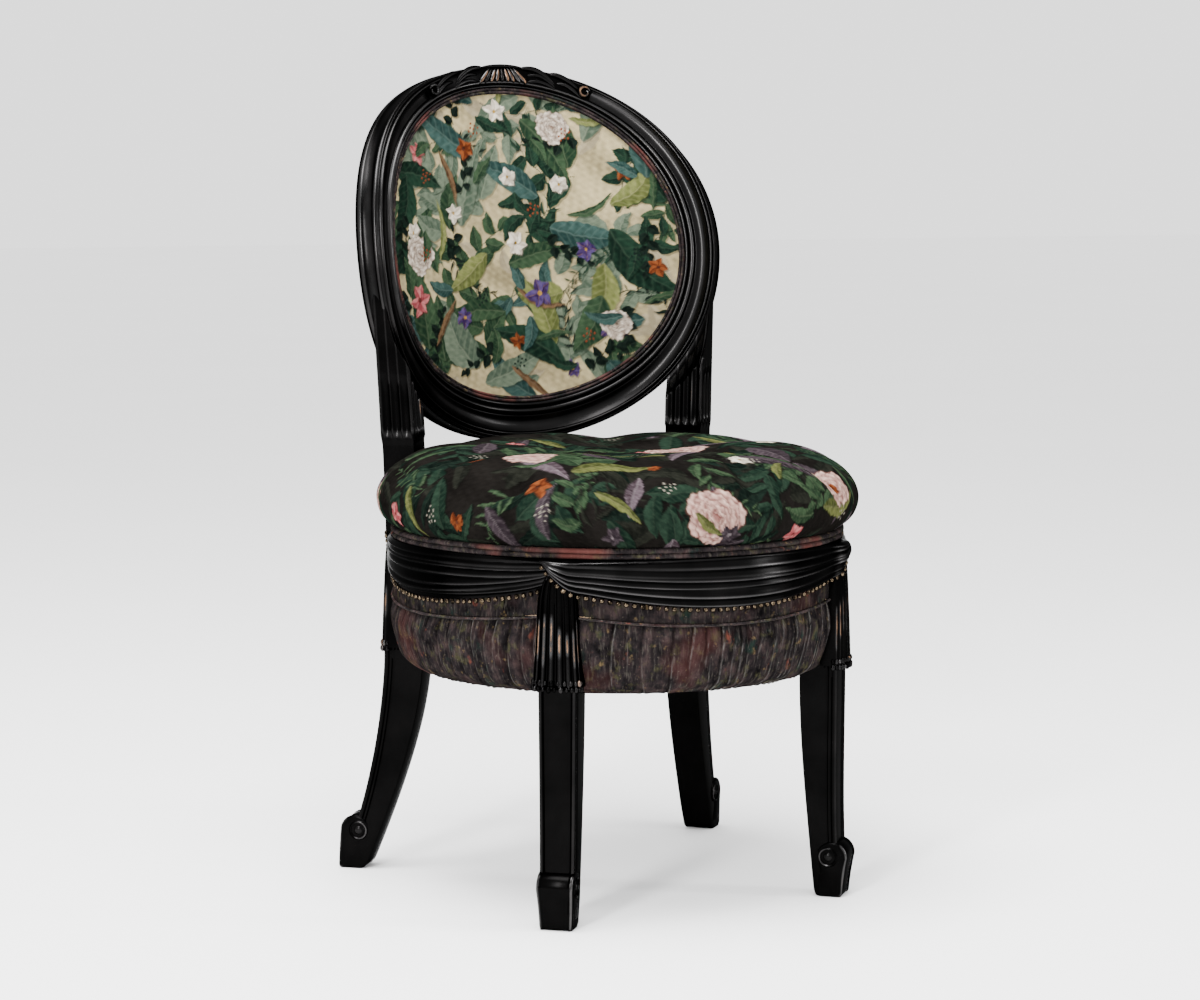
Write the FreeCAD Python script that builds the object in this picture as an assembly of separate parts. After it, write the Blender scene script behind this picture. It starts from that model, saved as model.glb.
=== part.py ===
import FreeCAD, Part
import math
import os

V = FreeCAD.Vector

# All lengths in millimetres, all angles in degrees. The front of the chair faces -Y.

# Seat plan and levels
seat_radius = 271.0
seat_crown_z = 493.0
seat_edge_z = 449.0
seat_waist_radius = 249.0
seat_waist_height = 12.0
seat_shoulder_radius = 205.0
seat_shoulder_drop = 9.0
cover_thickness = 2.0

# Sewn tufts on the seat: two rings of soft hollows
tuft_radius = 30.0
tuft_depth = 7.0
tuft_outer_ring_radius = 214.0
tuft_inner_ring_radius = 96.0
tuft_outer_count = 14
tuft_inner_count = 6
tie_radius = 1.2
tie_loop_radius = 4.0
tie_loop_thickness = 2.0

# Seat rails and the drapery carved over them
rail_top_z = 392.0
rail_depth = 60.0
rail_radius = 249.0
rail_thickness = 27.0
swag_radius = 259.0
swag_top_thickness = 7.0
swag_edge_thickness = 5.0
swag_drop_middle = 51.0
swag_drop_end = 21.0

# Nails along the swags' lower edges
nail_radius = 2.8
nail_height = 2.2
nail_spacing = 9.2
nail_gap = 0.6

# Belly under the rails: flat band, piping and gathered pad
band_thickness = 2.0
band_drop_middle = 68.0
band_drop_end = 55.0
piping_radius = 2.6
belly_radius = 254.0
belly_full_z = 298.0
belly_turn_radius = 243.0
belly_turn_z = 262.0
belly_bottom_radius = 220.0
belly_bottom_z = 247.0
belly_inner_radius = 217.5
dust_cover_thickness = 1.2

# Lower hoop inside the legs
hoop_radius = 216.0
hoop_width = 28.0
hoop_bottom_z = 249.0
hoop_height = 18.0

# Webbing, springs and hessian in the seat
web_width = 50.0
web_thickness = 1.8
web_pitch = 92.0
web_count = 3
spring_wire_radius = 2.0
spring_end_radius = 36.0
spring_waist_radius = 26.0
spring_turns = 4
spring_ring_radius = 118.0
spring_ring_count = 6
hessian_thickness = 1.5
hessian_margin = 6.0

# Braid along the seat's foot and round the back
braid_width = 11.0
braid_thickness = 4.5
braid_gap = 0.9

# Legs, in the upright plane through the middle of the chair and each leg
front_leg_angle = 43.0
rear_leg_angle = 131.5
leg_inner_radius = 217.0
leg_width_top = 41.0
leg_width_foot = 37.0
leg_top_z = 250.0
leg_foot_depth = 30.0
front_leg_depth = 43.0
rear_leg_depth = 46.0
rear_leg_inner_radius = 222.0
front_block_depth = 39.0
rear_block_depth = 44.0
front_leg_splay = 11.5
rear_leg_splay = 63.0
front_sabre_power = 2.0
rear_sabre_power = 1.65
toe_radius = 17.5
toe_width = 40.0
toe_height = 45.0
front_toe_reach = 255.0
rear_toe_reach = 304.5
front_foot_reach = 266.5
rear_foot_reach = 325.0

# Back posts above the rear legs
post_outer_radius = 266.0
post_depth = 42.0
post_depth_top = 36.0
post_width = 46.0
post_height = 300.0
post_rake = 15.0
post_rake_power = 1.4

# Tassels over the leg tops
tassel_bottom_z = 253.0
tassel_top_z = 384.0
tassel_shoulder_z = 344.0
tassel_width_bottom = 55.0
tassel_width_shoulder = 43.0
tassel_width_top = 24.0
tassel_thickness_bottom = 12.0
tassel_thickness_shoulder = 10.0
tassel_thickness_top = 8.0
tassel_cheek = 14.0

# Round back: its face curves round the sitter and leans back
back_curve_radius = 280.0
back_lean = 9.1
back_centre_z = 712.0
back_face_y = 256.5
pad_half_width = 210.0
pad_half_height = 185.0
ring_width_top = 25.0
ring_width_side = 37.0
ring_width_bottom = 43.0
ring_thickness = 30.0
ring_bead = 5.0
ring_cove = 4.0
ring_step = 4.0
pad_crown = 14.0
pad_edge_depth = 3.0
pad_thickness = 13.0
panel_thickness = 4.0
back_web_width = 50.0
back_web_pitch = 96.0

# Crest carving on the top rail
shell_half_width = 42.0
shell_rise = 4.0
shell_foot = 20.0
shell_thickness = 9.0
leaf_start = 36.0
leaf_length = 74.0
leaf_height = 15.0
leaf_rise = 4.0
leaf_thickness = 8.0

# Dowels, blocks and screws
dowel_radius = 5.0
dowel_length = 44.0
dowel_in_leg = 14.0
back_dowel_radius = 4.0
back_dowel_length = 40.0
post_joint_angle = 32.0
block_width = 84.0
block_depth = 26.0
block_height = 44.0
screw_radius = 2.2
screw_length = 42.0
screw_head_radius = 4.6
screw_head_height = 3.0

# Fits
clearance = 0.3
overrun = 90.0
sheet_tolerance = 0.09

# Shares of the sizes that they follow
dowel_level_shares = (0.25, 0.75)
screw_level_shares = (0.28, 0.72)
bead_shares = (0.2, 0.62, 0.9)
half_share = 0.5

# Counts of sections along a curve
leg_sections = 6
post_sections = 5
rail_sections = 9
ring_sections = 9
surface_points = 9
helix_arcs_per_turn = 4

rail_bottom_z = rail_top_z - rail_depth
hoop_top_z = hoop_bottom_z + hoop_height
cushion_bottom_z = rail_top_z + hessian_thickness
rail_corners = (-rear_leg_angle, -front_leg_angle, front_leg_angle, rear_leg_angle)
sides = {"left": -1, "right": 1}
rail_spans = {
    "front": (-front_leg_angle, front_leg_angle),
    "right": (front_leg_angle, rear_leg_angle),
    "rear": (rear_leg_angle, 360 - rear_leg_angle),
    "left": (-rear_leg_angle, -front_leg_angle),
}
parts = {}


# Helpers for outlines, lofts and places

def closed_wire(place, start, steps):
    """A closed wire from a start point and steps: an end point, or a middle and an end point."""
    edges = []
    here = place(*start)
    for step in steps:
        there = place(*step[-2:])
        if len(step) == 2:
            edges.append(Part.LineSegment(here, there).toShape())
        else:
            edges.append(Part.Arc(here, place(*step[:2]), there).toShape())
        here = there
    return Part.Wire(edges)


def loft(wires):
    return Part.makeLoft(wires, True)


def radial_plane(angle):
    """Maps (radius, height) into the upright plane at an angle from the front."""
    turn = math.radians(angle)
    return lambda r, z: V(r * math.sin(turn), -r * math.cos(turn), z)


def turned(shape, angle):
    copy = shape.copy()
    copy.rotate(V(0, 0, 0), V(0, 0, 1), angle)
    return copy


def spaced(first, last, count):
    step = (last - first) / (count - 1)
    return [first + step * index for index in range(count)]


def revolved(start, steps):
    face = Part.Face(closed_wire(radial_plane(0), start, steps))
    return face.revolve(V(0, 0, 0), V(0, 0, 1), 360)


def disc(radius, low, high):
    return Part.makeCylinder(radius, high - low, V(0, 0, low))


def biggest(shape):
    return max(shape.Solids, key=lambda solid: solid.Volume)


def grouped(solids):
    return Part.makeCompound(solids)


# Legs, built at the front centre and then turned to their corners

def leg_section(z, inner, outer, width):
    half = width * half_share
    corners = [V(-half, -inner, z), V(half, -inner, z), V(half, -outer, z), V(-half, -outer, z)]
    return Part.makePolygon(corners + corners[:1])


def sabre_leg(inner_top, depth_top, splay, power):
    wires = []
    for z in spaced(0, leg_top_z, leg_sections):
        fall = 1 - z / leg_top_z
        ease = (1 - math.cos(math.pi * fall)) * half_share
        depth = depth_top + (leg_foot_depth - depth_top) * ease
        centre = inner_top + depth_top * half_share + splay * fall ** power
        width = leg_width_top + (leg_width_foot - leg_width_top) * fall
        wires.append(leg_section(z, centre - depth * half_share, centre + depth * half_share, width))
    return loft(wires)


def scroll_toe(reach, foot_reach, foot_inner):
    half = toe_width * half_share
    roll = Part.makeCylinder(toe_radius, toe_width, V(-half, -reach, toe_height), V(1, 0, 0))
    points = [V(-half, -foot_inner, 0), V(-half, -foot_reach, 0), V(-half, -reach - toe_radius, toe_height),
              V(-half, -reach, toe_height)]
    block = Part.Face(Part.makePolygon(points + points[:1])).extrude(V(toe_width, 0, 0))
    return roll.fuse(block)


def leg_block(depth):
    half = leg_width_top * half_share
    corner = V(-half, -leg_inner_radius - depth, leg_top_z)
    return Part.makeBox(leg_width_top, depth, rail_top_z - leg_top_z, corner)


def back_post(grow):
    wires = []
    for z in spaced(rail_top_z, rail_top_z + post_height, post_sections):
        rise = (z - rail_top_z) / post_height
        outer = post_outer_radius + post_rake * rise ** post_rake_power
        inner = outer - post_depth - (post_depth_top - post_depth) * rise
        wires.append(leg_section(z, inner - grow, outer + grow, post_width + grow + grow))
    return loft(wires)


def whole_leg(inner, depth, splay, power, block_depth_here, toe_reach, foot_reach):
    foot_inner = inner + depth * half_share + splay - leg_foot_depth * half_share
    leg = sabre_leg(inner, depth, splay, power).fuse(scroll_toe(toe_reach, foot_reach, foot_inner))
    return leg.fuse(leg_block(block_depth_here)).removeSplitter()


front_leg = whole_leg(leg_inner_radius, front_leg_depth, front_leg_splay, front_sabre_power,
                      front_block_depth, front_toe_reach, front_foot_reach)
rear_leg = whole_leg(rear_leg_inner_radius, rear_leg_depth, rear_leg_splay, rear_sabre_power,
                     rear_block_depth, rear_toe_reach, rear_foot_reach)
rear_leg = rear_leg.fuse(back_post(0)).removeSplitter()
legs = {}
for side, sign in sides.items():
    legs["front_leg_" + side] = turned(front_leg, sign * front_leg_angle)
    legs["rear_leg_" + side] = turned(rear_leg, sign * rear_leg_angle)
leg_solids = list(legs.values())


# Carved tassels, wrapped round the outer half of each leg block

def tassel(block_depth_here):
    outer = leg_inner_radius + block_depth_here
    wires = []
    for z, width, proud in ((tassel_bottom_z, tassel_width_bottom, tassel_thickness_bottom),
                            (tassel_shoulder_z, tassel_width_shoulder, tassel_thickness_shoulder),
                            (tassel_top_z, tassel_width_top, tassel_thickness_top)):
        half = width * half_share
        cheek = outer - tassel_cheek
        front = outer + proud
        place = lambda x, r, level=z: V(x, -r, level)
        wires.append(closed_wire(place, (-half, cheek),
                                 [(half, cheek), (half, outer), (0, front, -half, outer), (-half, cheek)]))
    return loft(wires)


tassels = {}
for side, sign in sides.items():
    for end, depth, angle in (("front", front_block_depth, front_leg_angle),
                              ("rear", rear_block_depth, rear_leg_angle)):
        name = end + "_tassel_" + side
        carved = turned(tassel(depth), sign * angle)
        tassels[name] = biggest(carved.cut(legs[end + "_leg_" + side]))
tassel_solids = list(tassels.values())


# Round back: a frame of four arcs on a curved, leaning face

def back_point(u, v, n):
    """A point of the back: u along its curve, v up its face, n out towards the sitter."""
    turn = u / back_curve_radius
    reach = back_curve_radius - n
    lean = math.tan(math.radians(back_lean)) * v
    return V(reach * math.sin(turn), back_face_y + lean - back_curve_radius + reach * math.cos(turn),
             back_centre_z + v)


def ring_width(angle):
    up = math.sin(math.radians(angle))
    end_width = ring_width_top if up > 0 else ring_width_bottom
    return ring_width_side + (end_width - ring_width_side) * up * up


def ring_plane(angle):
    """Maps (w, n) into the plane across the frame at an angle: w outwards, n to the front."""
    turn = math.radians(angle)
    u = pad_half_width * math.cos(turn)
    v = pad_half_height * math.sin(turn)
    curve = u / back_curve_radius
    lean = math.tan(math.radians(back_lean))
    along = V(math.cos(curve), -math.sin(curve), 0)
    up = V(0, lean, 1).normalize()
    front = V(-math.sin(curve), -math.cos(curve), lean * math.cos(curve)).normalize()
    out = V(0, 0, 0) + along * (math.cos(turn) / pad_half_width) + up * (math.sin(turn) / pad_half_height)
    out.normalize()
    base = back_point(u, v, 0)
    return lambda w, n: base + out * w + front * n


def ring_loft(first, last, outline):
    wires = [closed_wire(ring_plane(angle), *outline(angle)) for angle in spaced(first, last, ring_sections)]
    return loft(wires)


def moulded(angle):
    width = ring_width(angle)
    inner, middle, outer = [width * share for share in bead_shares]
    steps = [(0, 0),
             (inner * half_share, ring_bead * half_share, inner, 0),
             ((inner + middle) * half_share, -ring_cove, middle, 0),
             ((middle + outer) * half_share, ring_bead, outer, 0),
             (width, -ring_step), (width, -ring_thickness), (0, -ring_thickness)]
    return (0, -ring_thickness), steps


def box_outline(inner, outer, low, high):
    return lambda angle: ((inner(angle), low), [(inner(angle), high), (outer(angle), high),
                                                (outer(angle), low), (inner(angle), low)])


ring_arcs = {"back_top_rail": (45, 135), "back_side_rail_left": (135, 225),
             "back_bottom_rail": (225, 315), "back_side_rail_right": (-45, 45)}
rings = {name: ring_loft(first, last, moulded) for name, (first, last) in ring_arcs.items()}
ring_outside = box_outline(lambda angle: -clearance, lambda angle: overrun, -overrun, overrun)
frame_cutters = [ring_loft(first, last, ring_outside) for first, last in ring_arcs.values()]
ring_inside = box_outline(lambda angle: -overrun, ring_width, -overrun, overrun)
post_cutters = [ring_loft(first, last, ring_inside) for first, last in ring_arcs.values()]


def back_layer(depth, thickness, half_u, half_v, middle_u, middle_v, crown):
    """A sheet of the back between two depths behind its face, trimmed to the frame's opening."""
    grid = []
    for u in spaced(middle_u - half_u, middle_u + half_u, surface_points):
        row = []
        for v in spaced(middle_v - half_v, middle_v + half_v, surface_points):
            fullness = 1 - (u / pad_half_width) ** 2 - (v / pad_half_height) ** 2
            row.append(back_point(u, v, crown * fullness - depth))
        grid.append(row)
    surface = Part.BSplineSurface()
    surface.interpolate(grid)
    face = surface.toShape()
    sheet = face.makeOffsetShape(thickness, sheet_tolerance, fill=True)
    if sheet.CenterOfMass.y < face.CenterOfMass.y:
        sheet = face.makeOffsetShape(-thickness, sheet_tolerance, fill=True)
    return biggest(sheet.cut(frame_cutters))


margin = ring_width_side
full_u = pad_half_width + margin
full_v = pad_half_height + margin
lean_share = 1 / math.cos(math.radians(back_lean))
hessian_depth = pad_edge_depth + pad_thickness * lean_share + clearance
web_depth = hessian_depth + hessian_thickness * lean_share + clearance
cross_web_depth = web_depth + web_thickness * lean_share + clearance
panel_depth = ring_thickness - panel_thickness
back_pad = back_layer(pad_edge_depth, pad_thickness, full_u, full_v, 0, 0, pad_crown)
parts["back_pad"] = back_pad
parts["back_hessian"] = back_layer(hessian_depth, hessian_thickness, full_u, full_v, 0, 0, pad_crown)
web_places = [back_web_pitch * (index - (web_count - 1) * half_share) for index in range(web_count)]
half_web = back_web_width * half_share
parts["back_webbing_upright"] = grouped([
    back_layer(web_depth, web_thickness, half_web, full_v, place, 0, pad_crown) for place in web_places])
parts["back_webbing_crosswise"] = grouped([
    back_layer(cross_web_depth, web_thickness, full_u, half_web, 0, place, pad_crown)
    for place in web_places])
parts["outside_back_panel"] = back_layer(panel_depth, panel_thickness, full_u, full_v, 0, 0, 0)


def braid_loop(outline):
    turns = spaced(0, 360, ring_sections * len(ring_arcs))[:-1]
    wires = [closed_wire(ring_plane(angle), *outline(angle)) for angle in turns]
    return Part.makeLoft(wires, True, False, True)


front_braid = box_outline(lambda angle: -braid_width, lambda angle: -braid_gap,
                          -braid_thickness - clearance, braid_thickness * half_share)
parts["back_braid_front"] = biggest(braid_loop(front_braid).cut(back_pad))
rear_braid = box_outline(lambda angle: -braid_width * half_share, lambda angle: braid_width * half_share,
                         -ring_thickness - braid_thickness * half_share, -ring_thickness)
parts["back_braid_rear"] = biggest(braid_loop(rear_braid).cut(parts["outside_back_panel"]))


# Crest carving on the top rail: a shell with a leaf spray on each side

def crest_plane(offset):
    return ring_plane(90 - math.degrees(offset / pad_half_width))


def crest_piece(first, last, count, profile):
    wires = []
    for offset in spaced(first, last, count):
        low, high, proud = profile(offset)
        middle = (low + high) * half_share
        steps = [(high, ring_bead * half_share), (middle, proud, low, ring_bead * half_share)]
        wires.append(closed_wire(crest_plane(offset), (low, ring_bead * half_share), steps))
    return loft(wires)


def shell_profile(offset):
    spread = math.sqrt(max(0, 1 - (offset / shell_half_width) ** 2 * (1 - half_share ** 4)))
    foot = ring_width_top - shell_foot * spread
    top = ring_width_top + shell_rise * spread - ring_bead * half_share
    return foot, top, ring_bead + shell_thickness * spread


def leaf_profile(offset):
    reach = (abs(offset) - leaf_start) / leaf_length
    swell = half_share ** 2 + (1 - half_share ** 2) * math.sin(math.pi * (1 - reach) * half_share)
    low = ring_width_top - leaf_height * swell
    return low, ring_width_top + leaf_rise * swell, ring_bead + leaf_thickness * swell


ring_solids = list(rings.values())
shell = crest_piece(-shell_half_width, shell_half_width, ring_sections, shell_profile).cut(ring_solids)
parts["crest_shell"] = biggest(shell)
for side, sign in sides.items():
    leaf = crest_piece(sign * leaf_start, sign * (leaf_start + leaf_length), post_sections, leaf_profile)
    parts["crest_leaf_" + side] = biggest(leaf.cut(ring_solids + [parts["crest_shell"]]))


# Seat rails between the legs, with dowels into the legs

def rail(first, last):
    profile = closed_wire(radial_plane(first), (rail_radius, rail_bottom_z),
                          [(rail_radius, rail_top_z), (rail_radius - rail_thickness, rail_top_z),
                           (rail_radius - rail_thickness, rail_bottom_z), (rail_radius, rail_bottom_z)])
    return Part.Face(profile).revolve(V(0, 0, 0), V(0, 0, 1), last - first)


rails = {span: biggest(rail(*ends).cut(leg_solids)) for span, ends in rail_spans.items()}
dowels = []
dowel_line = rail_radius - rail_thickness * half_share
for corner in rail_corners:
    for share in dowel_level_shares:
        for way in sides.values():
            start = V(way * (leg_width_top * half_share - dowel_in_leg), -dowel_line,
                      rail_bottom_z + rail_depth * share)
            dowel = Part.makeCylinder(dowel_radius, dowel_length, start, V(way, 0, 0))
            dowels.append(turned(dowel, corner))
parts["rail_dowels"] = grouped(dowels)


# Drapery swags, bands, piping, belly pads and nails: one set for each side of the seat

def hang(share, at_end, at_middle):
    return rail_top_z - at_end - (at_middle - at_end) * (1 - share * share)


def span_loft(ends, wire_at):
    first, last = ends
    wires = []
    for share in spaced(-1, 1, rail_sections):
        angle = (first + last) * half_share + (last - first) * half_share * share
        wires.append(wire_at(radial_plane(angle), share))
    return loft(wires)


carcase_radius = rail_radius + clearance
band_radius = carcase_radius + band_thickness


def swag_wire(place, share):
    low = hang(share, swag_drop_end, swag_drop_middle)
    top_r = carcase_radius + swag_top_thickness
    edge_r = carcase_radius + swag_edge_thickness
    middle_z = (low + rail_top_z) * half_share
    return closed_wire(place, (carcase_radius, rail_top_z),
                       [(top_r, rail_top_z), (swag_radius, middle_z, edge_r, low), (carcase_radius, low),
                        (carcase_radius, rail_top_z)])


def band_wire(place, share):
    high = hang(share, swag_drop_end, swag_drop_middle) - clearance
    low = hang(share, band_drop_end, band_drop_middle)
    return closed_wire(place, (carcase_radius, high), [(band_radius, high), (band_radius, low),
                                                       (carcase_radius, low), (carcase_radius, high)])


def piping_wire(place, share):
    level = hang(share, band_drop_end, band_drop_middle) - piping_radius - clearance
    centre = carcase_radius + piping_radius
    return closed_wire(place, (centre - piping_radius, level),
                       [(centre, level + piping_radius, centre + piping_radius, level),
                        (centre, level - piping_radius, centre - piping_radius, level)])


def belly_wire(place, share):
    high = hang(share, band_drop_end, band_drop_middle) - piping_radius * 2 - clearance * 2
    top_r = rail_radius
    upper_z = (high + belly_full_z) * half_share
    upper_r = top_r + (belly_radius - top_r) * (half_share + half_share ** 2)
    steps = [(upper_r, upper_z, belly_radius, belly_full_z),
             (belly_turn_radius, belly_turn_z, belly_bottom_radius, belly_bottom_z),
             (belly_inner_radius, belly_bottom_z),
             (belly_inner_radius, rail_bottom_z - clearance), (top_r, rail_bottom_z - clearance),
             (top_r, high)]
    return closed_wire(place, (top_r, high), steps)


def nail_row(ends):
    first, last = ends
    half_angle = (last - first) * half_share
    length = math.radians(half_angle * 2) * band_radius
    gap = math.degrees((tassel_width_shoulder * half_share + nail_radius * 2) / band_radius)
    count = int(length / nail_spacing)
    dome_radius = (nail_radius ** 2 + nail_height ** 2) / (nail_height * 2)
    brow_radius = nail_radius * half_share
    brow_height = math.sqrt(dome_radius ** 2 - brow_radius ** 2) - dome_radius + nail_height
    nail = revolved((0, 0), [(nail_radius, 0), (brow_radius, brow_height, 0, nail_height), (0, 0)])
    nail.rotate(V(0, 0, 0), V(1, 0, 0), 90)
    nail.translate(V(0, -band_radius, 0))
    nails = []
    for share in spaced(-1, 1, count):
        if half_angle * (1 - abs(share)) < gap:
            continue
        level = hang(share, swag_drop_end, swag_drop_middle) - nail_radius - nail_gap
        head = nail.copy()
        head.translate(V(0, 0, level))
        nails.append(turned(head, first + half_angle + half_angle * share))
    return grouped(nails)


pipings = []
corner_solids = leg_solids + tassel_solids
for span, ends in rail_spans.items():
    parts["swag_" + span] = biggest(span_loft(ends, swag_wire).cut(corner_solids))
    parts["belly_band_" + span] = biggest(span_loft(ends, band_wire).cut(corner_solids))
    parts["belly_pad_" + span] = biggest(span_loft(ends, belly_wire).cut(corner_solids))
    pipings.append(biggest(span_loft(ends, piping_wire).cut(corner_solids)))
    parts["swag_nails_" + span] = nail_row(ends)
parts["belly_piping"] = grouped(pipings)
dust_cover_top_z = belly_bottom_z + dust_cover_thickness
parts["dust_cover"] = disc(belly_inner_radius - clearance, belly_bottom_z, dust_cover_top_z)


# Lower hoop, corner blocks and their screws

hoop = disc(hoop_radius, hoop_bottom_z, hoop_top_z).cut(
    disc(hoop_radius - hoop_width, hoop_bottom_z, hoop_top_z))
block_low_z = rail_bottom_z + (rail_depth - block_height) * half_share
block = Part.makeBox(block_width, block_depth, block_height,
                     V(-block_width * half_share, -leg_inner_radius, block_low_z))
block = block.common(disc(rail_radius - rail_thickness, rail_bottom_z, rail_top_z))


def screw(inner_radius, level):
    """A screw driven outwards from an inner face, its head let in flush."""
    head = Part.makeCylinder(screw_head_radius, screw_head_height, V(0, -inner_radius, level), V(0, -1, 0))
    shank = Part.makeCylinder(screw_radius, screw_length, V(0, -inner_radius, level), V(0, -1, 0))
    return head.fuse(shank).removeSplitter()


block_screws = []
hoop_screws = []
blocks = []
for angle in (front_leg_angle, rear_leg_angle):
    for sign in sides.values():
        blocks.append(turned(block, sign * angle))
        for share in screw_level_shares:
            driven = screw(leg_inner_radius - block_depth, block_low_z + block_height * share)
            block_screws.append(turned(driven, sign * angle))
        hoop_screw = screw(hoop_radius - hoop_width, hoop_bottom_z + hoop_height * half_share)
        hoop_screws.append(turned(hoop_screw, sign * angle))
parts["block_screws"] = grouped(block_screws)
parts["hoop_screws"] = grouped(hoop_screws)
parts["lower_hoop"] = hoop.cut(hoop_screws)
parts["corner_blocks"] = grouped([biggest(solid.cut(block_screws)) for solid in blocks])


# Dowels in the back frame: one across each joint of the arcs, one from each post into the frame

back_dowels = []
for first, last in ring_arcs.values():
    plane = ring_plane(first)
    middle = plane(ring_width(first) * half_share, -ring_thickness * half_share)
    along = (plane(0, 0) - plane(1, 0)).cross(plane(0, 1) - plane(0, 0))
    along.normalize()
    start = middle - along * (back_dowel_length * half_share)
    back_dowels.append(Part.makeCylinder(back_dowel_radius, back_dowel_length, start, along))
for angle in (180 + post_joint_angle, -post_joint_angle):
    plane = ring_plane(angle)
    seat = ring_width(angle) - back_dowel_length * half_share
    start = plane(seat, -ring_thickness * half_share)
    along = plane(1, 0) - plane(0, 0)
    back_dowels.append(Part.makeCylinder(back_dowel_radius, back_dowel_length, start, along))
parts["back_dowels"] = grouped(back_dowels)

for name, solid in rings.items():
    parts[name] = biggest(solid.cut(back_dowels))
for name, solid in rails.items():
    parts["seat_rail_" + name] = biggest(solid.cut(dowels))
for name, solid in legs.items():
    cutters = dowels + block_screws + hoop_screws + back_dowels
    if name.startswith("rear"):
        cutters = cutters + post_cutters
    parts[name] = biggest(solid.cut(cutters))
parts.update(tassels)


# Seat: webbing, springs, hessian, stuffing, cover, ties and braid

def seat_web(level, along_x):
    inner = disc(hoop_radius, level, level + web_thickness)
    straps = []
    for index in range(web_count):
        place = web_pitch * (index - (web_count - 1) * half_share) - web_width * half_share
        size = (hoop_radius * 2, web_width) if along_x else (web_width, hoop_radius * 2)
        corner = V(-hoop_radius, place, level) if along_x else V(place, -hoop_radius, level)
        straps.append(Part.makeBox(size[0], size[1], web_thickness, corner).common(inner))
    return grouped(straps)


parts["seat_webbing_lengthwise"] = seat_web(hoop_top_z, False)
parts["seat_webbing_crosswise"] = seat_web(hoop_top_z + web_thickness, True)
spring_low = hoop_top_z + web_thickness * 2 + spring_wire_radius + clearance
spring_high = rail_top_z - spring_wire_radius - clearance


def spring_point(turn):
    """A point of the wire of an hourglass spring, counted in turns from its foot."""
    rise = turn / spring_turns
    waist = math.cos(math.pi * 2 * rise) * half_share + half_share
    radius = spring_waist_radius + (spring_end_radius - spring_waist_radius) * waist
    angle = math.pi * 2 * turn
    level = spring_low + (spring_high - spring_low) * rise
    return V(radius * math.cos(angle), radius * math.sin(angle), level)


def coil_spring():
    edges = []
    step = 1 / helix_arcs_per_turn
    for index in range(spring_turns * helix_arcs_per_turn):
        start, middle, end = [spring_point((index + part) * step) for part in (0, half_share, 1)]
        edges.append(Part.Arc(start, middle, end).toShape())
    path = Part.Wire(edges)
    aim = edges[0].tangentAt(edges[0].FirstParameter)
    section = Part.Wire([Part.Circle(spring_point(0), aim, spring_wire_radius).toShape()])
    return path.makePipeShell([section], True, False)


spring = coil_spring()
springs = [spring.copy()]
for index in range(spring_ring_count):
    copy = spring.copy()
    copy.translate(V(0, -spring_ring_radius, 0))
    springs.append(turned(copy, 360 / spring_ring_count * index))
parts["seat_springs"] = grouped(springs)

posts_clear = [turned(back_post(clearance), sign * rear_leg_angle) for sign in sides.values()]
hessian = disc(rail_radius - hessian_margin, rail_top_z, cushion_bottom_z)
parts["seat_hessian"] = biggest(hessian.cut(posts_clear))


def cushion(inset):
    """The domed seat, drawn in at its waist and let in at its tufts, inset by a thickness all over."""
    waist_r = seat_waist_radius - inset
    full_r = seat_radius - inset
    waist_z = cushion_bottom_z + seat_waist_height + inset
    shoulder_r = seat_shoulder_radius
    shoulder_z = seat_crown_z - seat_shoulder_drop - inset
    crown_z = seat_crown_z - inset
    lower_r = waist_r + (full_r - waist_r) * (half_share + half_share ** 2)
    lower_z = waist_z + (seat_edge_z - waist_z) * (half_share - half_share ** 3)
    upper_r = full_r - (full_r - shoulder_r) * half_share ** 2
    upper_z = seat_edge_z + (shoulder_z - seat_edge_z) * (half_share + half_share ** 2)
    dome_r = shoulder_r * half_share
    dome_z = crown_z - seat_shoulder_drop * half_share ** 2
    steps = [(waist_r, cushion_bottom_z), (waist_r, waist_z), (lower_r, lower_z, full_r, seat_edge_z),
             (upper_r, upper_z, shoulder_r, shoulder_z), (dome_r, dome_z, 0, crown_z), (0, cushion_bottom_z)]
    body = revolved((0, cushion_bottom_z), steps)
    return body.cut([tuft(place, inset) for place in tuft_places]).cut(posts_clear)


def seat_top_z(radius):
    share = radius / seat_shoulder_radius
    return seat_crown_z - seat_shoulder_drop * share * share


def tuft(place, inset):
    """A bell-shaped hollow that ends tangent to the seat's top."""
    spread = tuft_radius + inset
    low = place.z - tuft_depth - inset
    neck = spread * half_share ** 2
    steps = [(neck, low), (spread * half_share, low + tuft_depth * (half_share + half_share ** 2),
                           spread, low + tuft_depth + tuft_depth * half_share),
             (0, low + tuft_depth + tuft_depth * half_share), (0, low)]
    hollow = revolved((0, low), steps)
    hollow.translate(V(place.x, place.y, 0))
    return hollow


tuft_places = []
for radius, count in ((tuft_outer_ring_radius, tuft_outer_count), (tuft_inner_ring_radius, tuft_inner_count)):
    for index in range(count):
        angle = 360 / count * (index + half_share)
        tuft_places.append(radial_plane(angle)(radius, seat_top_z(radius)))

stuffing = cushion(cover_thickness)
ties = []
for place in tuft_places:
    floor_z = place.z - tuft_depth - cover_thickness
    twine = Part.makeCylinder(tie_radius, floor_z - cushion_bottom_z, V(place.x, place.y, cushion_bottom_z))
    knot_place = V(place.x, place.y, floor_z - tie_loop_thickness)
    knot = Part.makeCylinder(tie_loop_radius, tie_loop_thickness, knot_place)
    ties.append(biggest(twine.fuse(knot).removeSplitter()))
parts["tuft_ties"] = grouped(ties)
parts["seat_cover"] = biggest(cushion(0).cut(stuffing))
parts["seat_stuffing"] = biggest(stuffing.cut(ties))

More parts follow.
